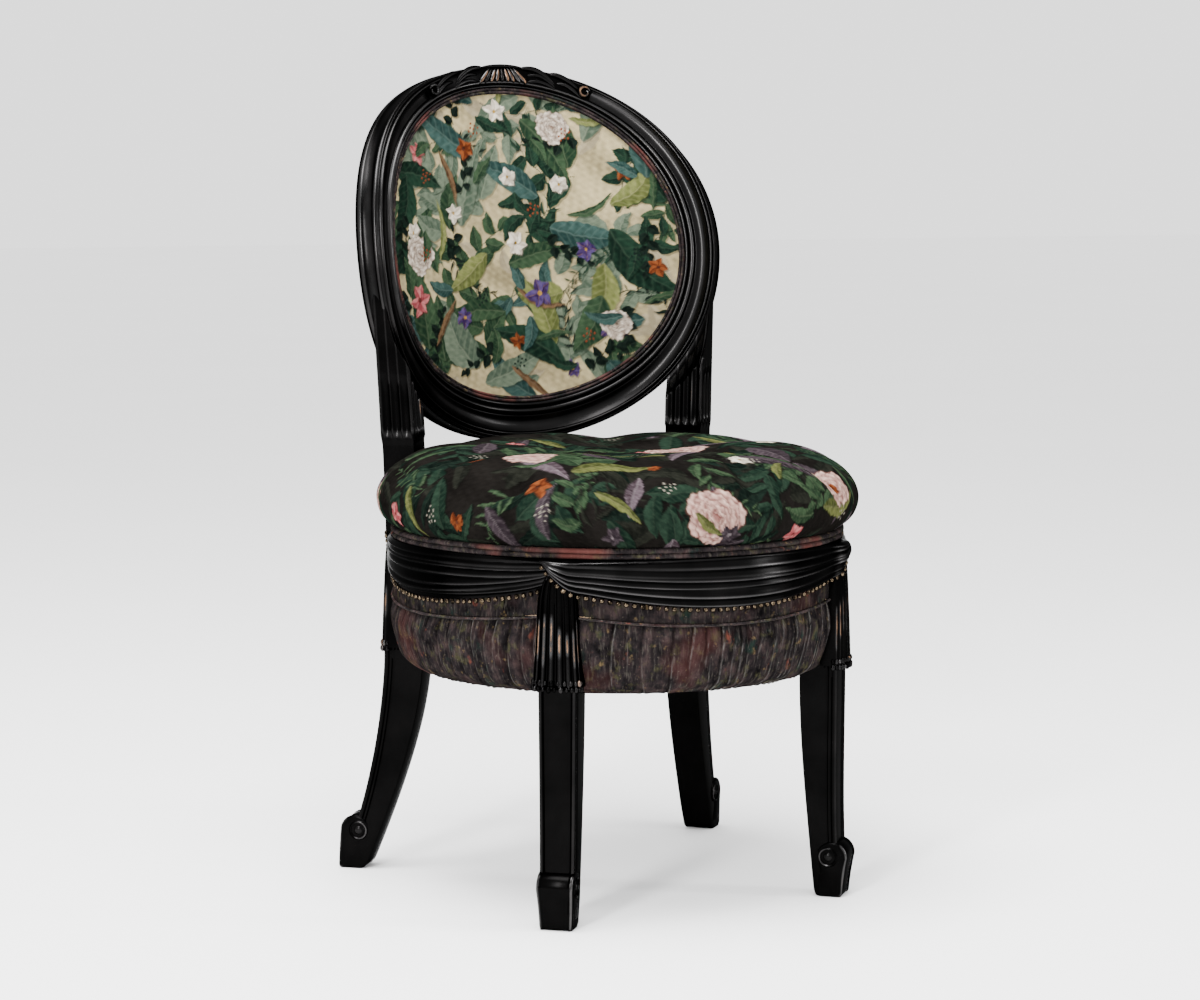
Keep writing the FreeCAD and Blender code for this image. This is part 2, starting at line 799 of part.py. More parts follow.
waist_outer = seat_waist_radius + clearance
braid_low = cushion_bottom_z + clearance
braid_middle = braid_low + braid_width * half_share
braid = revolved((waist_outer, braid_low),
                 [(waist_outer, braid_low + braid_width),
                  (waist_outer + braid_thickness, braid_middle, waist_outer, braid_low)])
parts["seat_braid"] = grouped(braid.cut(posts_clear + leg_solids).Solids)


# Centre the chair's footprint on the origin and write every piece

box = FreeCAD.BoundBox()
for shape in parts.values():
    box.add(shape.optimalBoundingBox(False))
shift = V(-box.Center.x, -box.Center.y, -box.ZMin)
os.makedirs("parts", exist_ok=True)
for name, shape in sorted(parts.items()):
    placed = shape.copy()
    placed.translate(shift)
    placed.exportStep("parts/" + name + ".step")
    print(name, len(placed.Solids), round(placed.Volume), placed.isValid())
print("shift", shift, "box", box)
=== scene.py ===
# %% [markdown]
# # An occasional chair with a round back
# The chair's hard frame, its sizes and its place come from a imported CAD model. This file dresses it:
# carved and lacquered timber, printed cloth, gathered cloth, welt, nails, light and a camera. Each step says
# what the piece is on the real chair, how it could be made, and why it is made the way it is here.

# %% Load the CAD frame
import math
import random

import bmesh
import bpy
import numpy as np
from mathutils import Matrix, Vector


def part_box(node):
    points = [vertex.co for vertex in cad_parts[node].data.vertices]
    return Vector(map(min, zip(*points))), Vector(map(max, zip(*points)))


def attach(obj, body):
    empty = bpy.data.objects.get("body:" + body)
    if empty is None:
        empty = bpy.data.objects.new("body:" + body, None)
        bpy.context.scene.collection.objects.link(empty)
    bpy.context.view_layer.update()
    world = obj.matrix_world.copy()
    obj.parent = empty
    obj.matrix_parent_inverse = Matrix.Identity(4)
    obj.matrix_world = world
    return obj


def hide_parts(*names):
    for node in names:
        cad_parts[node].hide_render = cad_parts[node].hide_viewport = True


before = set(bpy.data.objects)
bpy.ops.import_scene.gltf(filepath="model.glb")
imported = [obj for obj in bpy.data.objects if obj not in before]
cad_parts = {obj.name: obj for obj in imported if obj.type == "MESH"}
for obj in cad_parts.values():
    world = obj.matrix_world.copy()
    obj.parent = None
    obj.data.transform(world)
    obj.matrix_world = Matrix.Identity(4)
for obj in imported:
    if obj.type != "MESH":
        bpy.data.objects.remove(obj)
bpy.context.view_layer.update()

# %% [markdown]
# The carved and padded pieces follow the same few sizes as the CAD model, so those sizes are written once
# here, in metres. The middle of the round seat isn't the middle of the whole chair, because the back leans
# out behind it. The hoop under the seat is a full circle, so the middle of its box gives the seat's middle.

# %% Sizes shared by the pieces
mm = 0.001
hoop_low, hoop_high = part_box("lower_hoop")
seat_y = (hoop_low.y + hoop_high.y) / 2
rail_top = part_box("seat_rail_front")[1].z
front_angle, rear_angle = 43.0, 131.5
spans = {"front": (-front_angle, front_angle), "right": (front_angle, rear_angle),
         "rear": (rear_angle, 360 - rear_angle), "left": (-rear_angle, -front_angle)}
sides = (("left", -1), ("right", 1))
carcase = 249.3 * mm
print("seat middle", round(seat_y, 4), "rail top", round(rail_top, 4))

# %% [markdown]
# Most carved pieces are grids of points: rows along the piece and columns across it. The class below gathers
# such grids into one mesh. It also keeps, for every point, one value that the finishes read. Larger values show
# copper where the lacquer is rubbed through on the ridges a hand would touch, small ones lighten a crest as a
# painted sheen, values below zero darken a hollow as painted shade, and on the gathered cloth the value paints
# a pale highlight and shade onto the nap.

# %% Helpers that turn grids of points into pieces
class Carving:
    def __init__(self):
        self.points, self.faces, self.rub, self.count = [], [], [], 0

    def add(self, grid, rub=0.0, around=False, along=False, capped=False):
        rows, columns = grid.shape[:2]
        index = self.count + np.arange(rows * columns).reshape(rows, columns)
        net = np.vstack([index, index[:1]]) if along else index
        net = np.hstack([net, net[:, :1]]) if around else net
        quads = np.stack([net[:-1, :-1], net[:-1, 1:], net[1:, 1:], net[1:, :-1]], axis=-1)
        self.faces += quads.reshape(-1, 4).tolist()
        if capped:
            self.faces += [index[0].tolist(), index[-1].tolist()]
        self.points.append(grid.reshape(-1, 3))
        self.rub.append(np.broadcast_to(rub, (rows, columns)).reshape(-1))
        self.count += rows * columns
        return self

    def tube(self, grid, rub=0.0):
        """A grid closed across its columns and capped at both ends."""
        return self.add(grid, rub, around=True, capped=True)

    def hoop(self, grid, rub=0.0):
        """A grid closed across its columns and along its rows."""
        return self.add(grid, rub, around=True, along=True)

    def mesh(self, name, crease=40):
        made = bpy.data.meshes.new(name)
        made.from_pydata(np.vstack(self.points).tolist(), [], self.faces)
        shell = bmesh.new()
        shell.from_mesh(made)
        bmesh.ops.recalc_face_normals(shell, faces=shell.faces)
        shell.to_mesh(made)
        shell.free()
        made.attributes.new("rub", "FLOAT", "POINT").data.foreach_set("value", np.concatenate(self.rub))
        made.polygons.foreach_set("use_smooth", [True] * len(made.polygons))
        made.set_sharp_from_angle(angle=math.radians(crease))
        return made


def placed(name, data):
    made = bpy.data.objects.new(name, data)
    bpy.context.scene.collection.objects.link(made)
    return made


def finished(name, mesh, finish, slot, *nodes):
    """Puts a mesh into the scene as a piece on the chair's body that stands for CAD nodes."""
    piece = placed(name, mesh)
    mesh.materials.clear()
    mesh.materials.append(finish)
    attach(piece, "root")
    if nodes:
        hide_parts(*nodes)
    print(name, len(mesh.vertices), "points", len(mesh.polygons), "faces")
    return piece


print("grids and pieces ready")

# %% [markdown]
# The seat is round, so places on it are an angle from the front, a radius and a level, and a step across where
# a piece has a width of its own. Bent lines need only a few places each: a smooth curve runs through them.

# %% Helpers for places, curves and lengths
def on_seat(angle, radius, level, across=0.0):
    turn = np.radians(angle)
    x = radius * np.sin(turn) + across * np.cos(turn)
    y = seat_y - radius * np.cos(turn) + across * np.sin(turn)
    return np.stack(np.broadcast_arrays(x, y, level), axis=-1)


def unit(vectors):
    return vectors / np.linalg.norm(vectors, axis=-1, keepdims=True)


def eased(share):
    """A share from 0 to 1 with a soft start and a soft end."""
    return share * share * (3 - 2 * share)


def curve(a, b, c, d, t):
    """Places on a smooth curve from b to c whose neighbours are a and d."""
    return 0.5 * (2 * b + (c - a) * t + (2 * a - 5 * b + 4 * c - d) * t ** 2 + (3 * b - a - 3 * c + d) * t ** 3)


def length_along(line):
    """The length gone at every point of a line."""
    return np.concatenate([[0], np.cumsum(np.linalg.norm(np.diff(line, axis=0), axis=1))])


def smooth_line(points, count):
    """A smooth line through a few points, at even steps of its length, and that length."""
    known = np.array(points, float)
    spots = np.vstack([2 * known[0] - known[1], known, 2 * known[-1] - known[-2]])
    t = np.linspace(0, 1, 24, endpoint=False)[:, None]
    line = [curve(*four, t) for four in zip(spots, spots[1:], spots[2:], spots[3:])]
    line = np.vstack(line + [known[-1:]])
    gone = length_along(line)
    even = np.linspace(0, gone[-1], count)
    return np.stack([np.interp(even, gone, column) for column in line.T], axis=-1), gone[-1]


print("places, curves and lengths ready")

# %% [markdown]
# Shader maths reads better as sums than as rows of nodes. `Wire` stands for a socket and turns operators into
# Math nodes. `Finish` owns one material, and its `node` method makes every other kind of node.

# %% Shader helpers
class Wire:
    def __init__(self, finish, socket):
        self.finish, self.socket = finish, socket

    def maths(self, operation, a, b):
        return self.finish.node("ShaderNodeMath", {"operation": operation}, {0: a, 1: b})

    def __add__(self, other):
        return self.maths("ADD", self, other)

    def __sub__(self, other):
        return self.maths("SUBTRACT", self, other)

    def __rsub__(self, other):
        return self.maths("SUBTRACT", other, self)

    def __mul__(self, other):
        return self.maths("MULTIPLY", self, other)

    __radd__, __rmul__ = __add__, __mul__

    def clamped(self):
        return self.finish.node("ShaderNodeClamp", {}, {0: self})


class Finish:
    def __init__(self, name):
        self.material = bpy.data.materials.new(name)
        self.material.use_nodes = True
        self.tree = self.material.node_tree
        self.tree.nodes.clear()

    def node(self, kind, settings, inputs, output=0):
        made = self.tree.nodes.new(kind)
        for key, value in settings.items():
            if key == "stops":
                ramp = made.color_ramp.elements
                while len(ramp) < len(value):
                    ramp.new(0.5)
                for stop, (place, colour) in zip(ramp, value):
                    stop.position, stop.color = place, (*colour, 1)
            else:
                setattr(made, key, value)
        for key, value in inputs.items():
            if isinstance(value, Wire):
                self.tree.links.new(value.socket, made.inputs[key])
            else:
                made.inputs[key].default_value = value
        return Wire(self, made.outputs[output]) if made.outputs else None

    def place(self, layer=None):
        if layer:
            return self.node("ShaderNodeUVMap", {"uv_map": layer}, {})
        return self.node("ShaderNodeTexCoord", {}, {}, "Object")

    def stretched(self, where, scale):
        return self.node("ShaderNodeMapping", {}, {"Vector": where, "Scale": scale})

    def stored(self, name, output="Fac"):
        return self.node("ShaderNodeAttribute", {"attribute_name": name}, {}, output)

    def noise(self, where, scale, detail=3.0, rough=0.5):
        return self.node("ShaderNodeTexNoise", {}, {"Vector": where, "Scale": scale, "Detail": detail,
                                                    "Roughness": rough})

    def blend(self, share, first, second, how="MIX"):
        paint = [value if isinstance(value, Wire) else (*value, 1) for value in (first, second)]
        return self.node("ShaderNodeMix", {"data_type": "RGBA", "blend_type": how},
                         {0: share, 6: paint[0], 7: paint[1]}, 2)

    def ramp(self, value, *stops):
        return self.node("ShaderNodeValToRGB", {"stops": stops}, {0: value})

    def bump(self, height, strength, distance):
        return self.node("ShaderNodeBump", {}, {"Height": height, "Strength": strength, "Distance": distance})

    def close(self, **sockets):
        names = {key.replace("_", " "): value for key, value in sockets.items()}
        shader = self.node("ShaderNodeBsdfPrincipled", {}, names)
        self.node("ShaderNodeOutputMaterial", {}, {0: shader})
        return self.material


def shaded(shade, colour):
    return tuple(shade * c for c in colour)


print("shader helpers ready")

# %% [markdown]
# The timber is lacquered nearly black with a satin gloss. Copper-brown ground shows where ridges have been
# rubbed: the values stored on the meshes say where, and a fine noise breaks the edge of the wear. Smaller values
# don't wear through but lighten the black as a painted sheen on crests, and values below zero darken it as
# painted shade in hollows.
# A very shallow bump lets wood grain show through the gloss, as it does under real lacquer. Plain gloss paint
# would mirror the white studio at grazing angles, so the lacquer is set up as a very dark metal with a dark
# edge tint, which keeps its sides black and its highlights crisp. The nails are aged bronze. The hidden rails
# are raw beech, and the dowels between post and ring are stained, so that their ends stay dark in the joint.

# %% Lacquer, nails and hidden timber
def lacquer_finish():
    f = Finish("black_lacquer")
    where = f.place()
    rub = f.stored("rub")
    patch = f.noise(f.stretched(where, (1.0, 1.0, 0.35)), 170.0, 4.0, 0.6)
    worn = ((rub * 1.2 + patch * 1.5 - 1.42) * 2.6).clamped()
    haze = f.noise(where, 22.0, 4.0, 0.55)
    grain = f.noise(f.stretched(where, (260.0, 260.0, 18.0)), 1.0, 2.0)
    # painted sheen: small stored values lighten the black base colour up to twenty times on crests, zero leaves
    # it as it is, and values below zero darken it to nothing as painted shade in hollows
    painted_sheen = (rub * 2.9 + 0.05).clamped() * 20.0
    black = f.ramp(haze, (0.3, (0.0013, 0.0013, 0.0013)), (0.7, (0.0024, 0.0023, 0.0023)))
    black = f.blend(1.0, black, painted_sheen, "MULTIPLY")
    copper = f.ramp(patch, (0.35, (0.040, 0.020, 0.012)), (0.75, (0.250, 0.145, 0.085)))
    return f.close(Base_Color=f.blend(worn, black, copper), Metallic=0.96,
                   Roughness=haze * 0.12 + worn * 0.16 + 0.18, Specular_IOR_Level=0.06,
                   Specular_Tint=(0.06, 0.06, 0.06, 1), Normal=f.bump(grain + patch * 0.4, 0.10, 0.4 * mm))


def bronze_finish():
    f = Finish("aged_bronze")
    spots = f.noise(f.place(), 300.0, 3.0)
    return f.close(Base_Color=f.ramp(spots, (0.40, (0.004, 0.003, 0.002)), (0.66, (0.105, 0.078, 0.050))),
                   Metallic=0.95, Roughness=spots * 0.14 + 0.10, Specular_Tint=(0.3, 0.3, 0.3, 1),
                   Normal=f.bump(spots, 0.1, 0.2 * mm))


def timber_finish(name, shade):
    f = Finish(name)
    grain = f.noise(f.stretched(f.place(), (14.0, 14.0, 90.0)), 4.0, 6.0, 0.6)
    dark, light = shaded(shade, (0.42, 0.27, 0.15)), shaded(shade, (0.62, 0.44, 0.28))
    return f.close(Base_Color=f.ramp(grain, (0.3, dark), (0.7, light)), Roughness=grain * 0.2 + 0.5,
                   Normal=f.bump(grain, 0.15, 0.5 * mm))


lacquer, bronze = lacquer_finish(), bronze_finish()
timber, stained = timber_finish("raw_beech", 1.0), timber_finish("stained_beech", 0.012)


def lacquered(name, carving, crease, *nodes):
    return finished(name, carving.mesh(name, crease), lacquer, "lacquer", *nodes)


print("lacquer, bronze and timber finishes made")

# %% [markdown]
# Under the covers lie jute webbing, hessian, springs, screws, stuffing and a black dust cloth. Nobody sees
# most of it, but each still gets the finish of its own stuff, so that a cut-away view would read correctly.

# %% Woven and metal finishes of the hidden pieces
def woven_finish(name, dark, light, pitch):
    f = Finish(name)
    where = f.place()
    threads = f.node("ShaderNodeTexChecker", {}, {"Vector": where, "Scale": 1 / pitch}, 1)
    fuzz = f.noise(where, 900.0, 2.0)
    cloud = f.noise(where, 35.0, 3.0)
    tint = f.blend(cloud, dark, light)
    return f.close(Base_Color=f.blend(threads * 0.35 + fuzz * 0.2, tint, dark), Roughness=fuzz * 0.1 + 0.82,
                   Sheen_Weight=0.2, Normal=f.bump(threads * 0.5 + fuzz, 0.35, 0.4 * mm))


def steel_finish():
    f = Finish("plain_steel")
    streak = f.noise(f.place(), 240.0, 4.0)
    return f.close(Base_Color=f.ramp(streak, (0.3, (0.22, 0.21, 0.20)), (0.7, (0.46, 0.45, 0.43))),
                   Metallic=1.0, Roughness=streak * 0.3 + 0.22, Normal=f.bump(streak, 0.1, 0.2 * mm))


jute = woven_finish("jute_weave", (0.22, 0.15, 0.08), (0.45, 0.33, 0.19), 2.2 * mm)
stuffing = woven_finish("felted_fibre", (0.50, 0.45, 0.36), (0.72, 0.67, 0.57), 5 * mm)
cambric = woven_finish("black_cambric", (0.007, 0.007, 0.008), (0.018, 0.018, 0.019), 0.9 * mm)
steel = steel_finish()
hidden = {"seat_rail": timber, "lower_hoop": timber, "corner_blocks": timber, "rail_dowels": timber,
          "back_dowels": stained, "seat_webbing": jute, "back_webbing": jute, "seat_hessian": jute,
          "back_hessian": jute, "tuft_ties": jute, "seat_stuffing": stuffing, "seat_springs": steel,
          "block_screws": steel, "hoop_screws": steel}
for node_name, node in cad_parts.items():
    for start, finish in hidden.items():
        if node_name.startswith(start):
            node.data.materials.clear()
            node.data.materials.append(finish)
print("hidden pieces finished")

# %% [markdown]
# The round back frame is a moulded ring on a face that curves round the sitter and leans back. A ring could
# be a bevelled curve, but its width changes from top to bottom and its section has beads and a cove, so it is
# a grid: one row for each direction round the ring, one column for each point of the moulding.

# %% Places on the curved back
back_curve, back_lean = 280 * mm, math.tan(math.radians(9.1))
back_y, back_z = seat_y + 256.5 * mm, 712 * mm
pad_half_w, pad_half_h = 210 * mm, 185 * mm
ring_top, ring_side, ring_foot = 25 * mm, 37 * mm, 43 * mm


def back_point(u, v, n):
    """Points u sideways and v up on the back's face, and n in front of it."""
    turn, reach = u / back_curve, back_curve - n
    y = back_y + back_lean * v - back_curve + reach * np.cos(turn)
    return np.stack(np.broadcast_arrays(reach * np.sin(turn), y, back_z + v), axis=-1)


def ring_width(turn):
    end = np.where(np.sin(turn) > 0, ring_top, ring_foot)
    return ring_side + (end - ring_side) * np.sin(turn) ** 2


def round_back(turn, w, n):
    """Points at a direction round the back, w out from the pad's edge and n in front of the face."""
    turn, w, n = np.broadcast_arrays(turn, w, n)
    u, v = pad_half_w * np.cos(turn), pad_half_h * np.sin(turn)
    curl, flat = u / back_curve, np.zeros_like(u)
    side = np.stack([np.cos(curl), -np.sin(curl), flat], axis=-1)
    up = unit(np.stack([flat, flat + back_lean, flat + 1], axis=-1))
    front = unit(np.stack([-np.sin(curl), -np.cos(curl), back_lean * np.cos(curl)], axis=-1))
    out = unit(side * (np.cos(turn) / pad_half_w)[..., None] + up * (np.sin(turn) / pad_half_h)[..., None])
    return back_point(u, v, flat) + out * w[..., None] + front * n[..., None]


print("back stands", round(back_y, 4), "behind the middle and", round(back_z, 4), "up")

# %% [markdown]
# The moulding is drawn once, from the pad's edge over the face and down the outer side. Each point of it is a
# share of the ring's width and a height over the face in millimetres. The face has two beads, a wide cove and
# two small beads. The outer side has a bead, a cove and a bead again. The face, its bead tops, the cove and the
# beads and cove of the outer side get a painted sheen, strongest at the top and sides of the ring and fading
# towards the foot; where it is strongest the lacquer can also wear through to copper.

# %% Moulded ring
def bead(first, last, base, height, count=7):
    middle, half = (first + last) / 2, (last - first) / 2
    return [(middle - half * math.cos(a), base + height * math.sin(a)) for a in np.linspace(0, math.pi, count)]


def cove(first, last, depth, rise, count=11):
    t = np.linspace(0, 1, count)
    return [(first + (last - first) * x, rise * x - depth * math.sin(math.pi * x)) for x in t]


inner_wall = [(0.0, -30.0), (0.0, -16.0), (0.0, -3.0)]
face = (bead(0.0, 0.13, -0.8, 3.0) + [(0.145, -1.4)] + bead(0.16, 0.33, -0.6, 4.4, 9)
        + [(0.345, -1.2), (0.36, -0.2)] + cove(0.375, 0.80, 2.6, 1.4, 15) + [(0.81, 0.4)]
        + bead(0.82, 0.90, 0.2, 2.2) + [(0.91, -1.2)] + bead(0.92, 1.0, -1.8, 1.6))
side_bead = [(0.988, -3.0), (1.0, -3.8), (1.015, -4.6), (1.021, -5.7), (1.015, -6.8), (1.0, -7.6),
             (0.985, -8.2)]
side_cove = [(0.970, -10.0), (0.958, -12.4), (0.955, -14.6), (0.960, -17.0), (0.974, -19.4), (0.988, -20.8)]
rear_bead = [(1.0, -21.4), (1.012, -22.6), (1.016, -24.0), (1.010, -25.4), (0.995, -26.6), (0.975, -28.8)]
rear_wall = [(0.93, -30.0), (0.6, -30.0), (0.3, -30.0)]
moulding = np.array(inner_wall + face + side_bead + side_cove + rear_bead + rear_wall)
ring_share, ring_rise = moulding[:, 0], moulding[:, 1] * mm
turns = np.linspace(0, 2 * math.pi, 360, endpoint=False)[:, None]
# painted sheen on the ring: full at the top and sides, fading to a third at the foot
ring_sheen_share = 0.30 + 0.70 * np.clip(np.sin(turns) + 0.75, 0, 1)
face_sheen, bead_sheen = 0.060 * (ring_rise > -3.2 * mm), np.clip((ring_rise / mm - 0.4) / 12, 0, 0.22)
cove_sheen = 0.16 * np.exp(-((ring_share - 0.66) / 0.10) ** 2) * (ring_rise > -4 * mm)
side_bead_sheen = 0.20 * (ring_share > 1.004)
side_sheen = 0.11 * np.exp(-((ring_rise / mm + 14.0) / 4.0) ** 2) * (ring_share > 0.9)
ring_sheen_and_wear = ring_sheen_share * (face_sheen + bead_sheen + cove_sheen + side_bead_sheen + side_sheen)
ring = round_back(turns, ring_width(turns) * ring_share, ring_rise)
lacquered("back_frame", Carving().hoop(ring, ring_sheen_and_wear), 50, "back_top_rail",
          "back_bottom_rail", "back_side_rail_left", "back_side_rail_right")

# %% [markdown]
# The crest is carved on the top of the ring: a low swelling band, a small hanging fan of ribs in its middle,
# and on each side five smooth leaves and a scroll. Every rib, leaf and scroll is a strand: a rounded line
# through a few places on the ring that swells and thins, so one function carves them all.

# %% Strands and band of the crest
def crest_place(along, w, n):
    return round_back(math.pi / 2 - along / pad_half_w, w, n)


def strand(carving, way, spots, breadth, height, base, fat=0.5, worn=0.2, rows=24, columns=14):
    """A rounded strand through spots (along the crest, out from the pad), all in millimetres."""
    line = smooth_line(spots, rows)[0]
    t = np.linspace(0, 1, rows)[:, None]
    a = np.linspace(0, 2 * math.pi, columns, endpoint=False)[None, :]
    swell = np.sqrt(np.clip(1 - (2 * t ** (math.log(0.5) / math.log(fat)) - 1) ** 2, 0.01, 1))
    run = unit(np.gradient(line, axis=0))
    s = line[:, :1] - run[:, 1:] * breadth * swell * np.cos(a)
    w = line[:, 1:] + run[:, :1] * breadth * swell * np.cos(a)
    # along the top of a strand, large values wear through to copper and small ones paint a sheen
    rub = worn * np.clip(np.sin(a), 0, 1) ** 6 * np.clip(swell * 1.3, 0, 1)
    n = base + height * swell * np.sin(a)
    carving.tube(crest_place(way * s * mm, w * mm, n * mm), rub)


def crest_band(carving, first, last):
    """The low swelling that the crest is carved from, between two places along it, in millimetres."""
    band_half, inner_edge, underside = 112, 5.0, -9.0
    s = np.linspace(first, last, 60)[:, None]
    rise = np.clip(1 - (np.abs(s) / band_half) ** 3, 0, 1)
    a = np.linspace(0, math.pi, 16)[None, :]
    low, high, under = inner_edge + 0 * s, ring_top / mm - 3 + 2.6 * rise, underside + 0 * s
    w = (low + high) / 2 - (high - low) / 2 * np.cos(a)
    n = 1.2 + 3.4 * rise * np.sin(a) ** 0.8
    w, n = np.hstack([w, high, low]), np.hstack([n, under, under])
    carving.tube(crest_place(s * mm, w * mm, n * mm))


print("crest strands ready")

# %% [markdown]
# The fan's ribs are worn unevenly, as old carving is, and so are the two scrolls: some are rubbed through to
# copper, and the rest only get a painted sheen along their tops. The leaves overlap like tiles. For each leaf a
# list gives its places, breadth, height, base, fattest share and painted sheen.

# %% Crest of ribs, leaves and scrolls
shell = Carving()
crest_band(shell, -33, 33)
rib_wear_and_sheen = (1.2, 0.10, 1.1, 1.2, 0.15, 1.3, 1.2, 0.60, 1.2)
for share, worn in zip(np.linspace(-1, 1, len(rib_wear_and_sheen)), rib_wear_and_sheen):
    rib = [(14 * share, 23.6), (21 * share, 15.5), (31 * share, 5.6)]
    strand(shell, 1, rib, 3.1, 3.8, 3.2, 0.66, worn, 16, 12)
fan_roll = [(-27, 24.0), (-12, 24.8), (12, 24.8), (27, 24.0)]
strand(shell, 1, fan_roll, 2.2, 3.6, 3.4, 0.5, 0.05)
lacquered("carved_shell", shell, 40, "crest_shell")

leaf_strands = [([(23, 23.6), (38, 24), (52, 19.5), (65, 12)], 3.8, 4.4, 3.2, 0.45, 0.06),
                ([(30, 15.5), (44, 18), (55, 15), (66, 9)], 3.2, 3.6, 3.0, 0.5, 0.05),
                ([(31, 8), (44, 11), (56, 10), (68, 6.5)], 3.0, 3.0, 2.8, 0.5, 0.07),
                ([(56, 22.6), (66, 23.6), (80, 21), (95, 15.5)], 3.6, 4.2, 3.0, 0.4, 0.06),
                ([(66, 14.5), (78, 15.5), (90, 12), (99, 8)], 3.2, 3.6, 2.8, 0.5, 0.10)]
scroll = []
for turn in np.linspace(0.2 * math.pi, 2.5 * math.pi, 12):
    wound = 1.6 * (turn / math.pi)
    scroll.append((100 + (7.2 - wound) * math.cos(turn), 16 + (7.0 - wound) * math.sin(turn)))
scroll_wear_and_sheen = {"left": 0.08, "right": 1.0}
for side, way in sides:
    spray = Carving()
    crest_band(spray, way * 30, way * 108)
    for leaf in leaf_strands:
        strand(spray, way, *leaf)
    strand(spray, way, scroll, 2.8, 4.6, 3.8, 0.5, scroll_wear_and_sheen[side], 60, 10)
    lacquered("carved_leaves_" + side, spray, 40, "crest_leaf_" + side)

# %% [markdown]
# The sabre legs are square in section, with a bead along both edges of the outer face and a quirk beside it on
# the flanks, and sweep out to a scroll toe. The section is drawn once as distances from the edge and heights,
# and a row of such sections down the leg makes the sweep. The toe is one outline seen from the side, spread
# across the leg with rounded edges, and the eye of its scroll is turned like a wheel: rim, groove and button.

# %% Leg sections and toes
edge_bead = np.array([(0.0, -2.8), (0.4, -1.1), (1.4, -0.1), (2.5, 0.0), (3.6, -0.5), (4.3, -1.6), (4.9, -2.6),
                      (5.7, -1.9), (8.0, -1.6)]) * mm
flank_quirk = np.array([(0.0, 4.4), (-0.3, 5.0), (-1.3, 5.7), (-0.4, 6.4), (0.0, 7.2), (-0.1, 9.0),
                        (-1.0, 9.8), (-0.2, 10.6)]) * mm
toe_radius, toe_level, toe_half = 17.5 * mm, 45 * mm, 20 * mm
toe_edge = np.array([(0.0, 2.6), (0.5, 1.2), (1.6, 0.2), (3.0, 0.0), (4.2, 0.6), (5.0, 1.1), (6.0, 0.7),
                     (20, 0.7)]) * mm
eye_radius, eye_setback = 11.5 * mm, 4 * mm
eye_wheel = [(0.0, 1.6), (0.22, 1.4), (0.38, 0.6), (0.46, -0.8), (0.56, -1.6), (0.66, -1.2), (0.72, 0.6),
             (0.84, 1.1), (0.95, 0.5), (1.0, -1.0), (1.0, -6.0)]


def square_section(half, inner, outer):
    """Across and radius of a leg's outline for columns of half width, inner and outer radius."""
    corner, ease = 2.2 * mm, 0.5 * mm
    e, h = edge_bead[:, 0], edge_bead[:, 1]
    flat = np.zeros((1, 1))
    fill = np.linspace(0.1, 0.9, 3)[None, :]
    left = -half + e[None, :]
    flank = np.hstack([half + flank_quirk[None, :, 0], half + 0 * fill])
    face = outer + h[None, :]
    start = outer - flank_quirk[-1, 1]
    deep = np.hstack([outer - flank_quirk[None, :, 1], start + (inner + corner - start) * fill])
    across = [left, flat * half, -left[:, ::-1], flank, half - ease + flat, half - corner + flat,
              flat * half, -(half - corner) + flat, -(half - ease) + flat, -flank[:, ::-1]]
    radius = [face, outer + h[-1] + flat, face[:, ::-1], deep, inner + ease + flat, inner + flat,
              inner + flat, inner + flat, inner + ease + flat, deep[:, ::-1]]
    return np.hstack(across), np.hstack(radius)


def scroll_eye(carving, angle, middle, way):
    """The eye on one side of a scroll, turned like a wheel."""
    turn = np.linspace(0, 2 * math.pi, 40, endpoint=False)[None, :]
    share, proud = [np.array(column)[:, None] for column in zip(*eye_wheel)]
    out = way * (toe_half * 0.985 + proud * mm) + 0 * turn
    spoke = eye_radius * share
    eye = on_seat(angle, middle + spoke * np.cos(turn), toe_level + spoke * np.sin(turn), out)
    # a painted glint on one arc of the rim and a faint painted sheen on the button
    glint = 0.30 * ((share > 0.8) & (share < 0.9)) * np.clip(0.5 - np.cos(turn), 0, 1) + 0.05 * (share < 0.4)
    carving.tube(eye, glint)


def scroll_toe(carving, angle, reach, foot_reach, foot_inner):
    """A toe's outline seen from the side, spread across the leg with rounded edges, and its two eyes."""
    outline = [(foot_inner + d * mm, z * mm) for d, z in ((6, 30), (0, 7), (0.5, 3.4), (1.9, 1.0), (5, 0))]
    outline += [(foot_reach - d * mm, z * mm) for d, z in ((12, 0), (4, 0), (1.2, 0.7), (0, 3))]
    nose = reach + toe_radius - foot_reach
    outline += [(foot_reach + nose * (z * mm / toe_level) ** 1.5, z * mm) for z in (10, 19, 28, 37)]
    for a in np.linspace(0.0, 0.86, 14) * math.pi:
        outline.append((reach + toe_radius * math.cos(a), toe_level + toe_radius * math.sin(a)))
    r, z = [np.array(column)[None, :] for column in zip(*outline)]
    side = np.concatenate([toe_edge[:, 0] - toe_half, toe_half - toe_edge[-2::-1, 0]])[:, None]
    inset = np.concatenate([toe_edge[:, 1], toe_edge[-2::-1, 1]])[:, None]
    middle_r, middle_z = (foot_inner + foot_reach) / 2, 30 * mm
    away = np.hypot(r - middle_r, z - middle_z)
    r, z = r - (r - middle_r) / away * inset, np.maximum(z - (z - middle_z) / away * inset, 0)
    taper = 1 - 0.13 * np.clip(1 - z / toe_level, 0, 1)
    on_rim = np.abs(np.abs(side) - toe_half + 1.4 * mm) < 1.0 * mm
    # the rims of the toe's nose wear through to copper in places and get a painted sheen elsewhere
    worn = np.where(on_rim & (r > reach + 9 * mm), 0.42, 0.0)
    carving.tube(on_seat(angle, r, z, side * taper), worn)
    for way in (-1, 1):
        scroll_eye(carving, angle, reach - eye_setback, way)


print("leg sections ready,", len(edge_bead), "points to an edge bead")

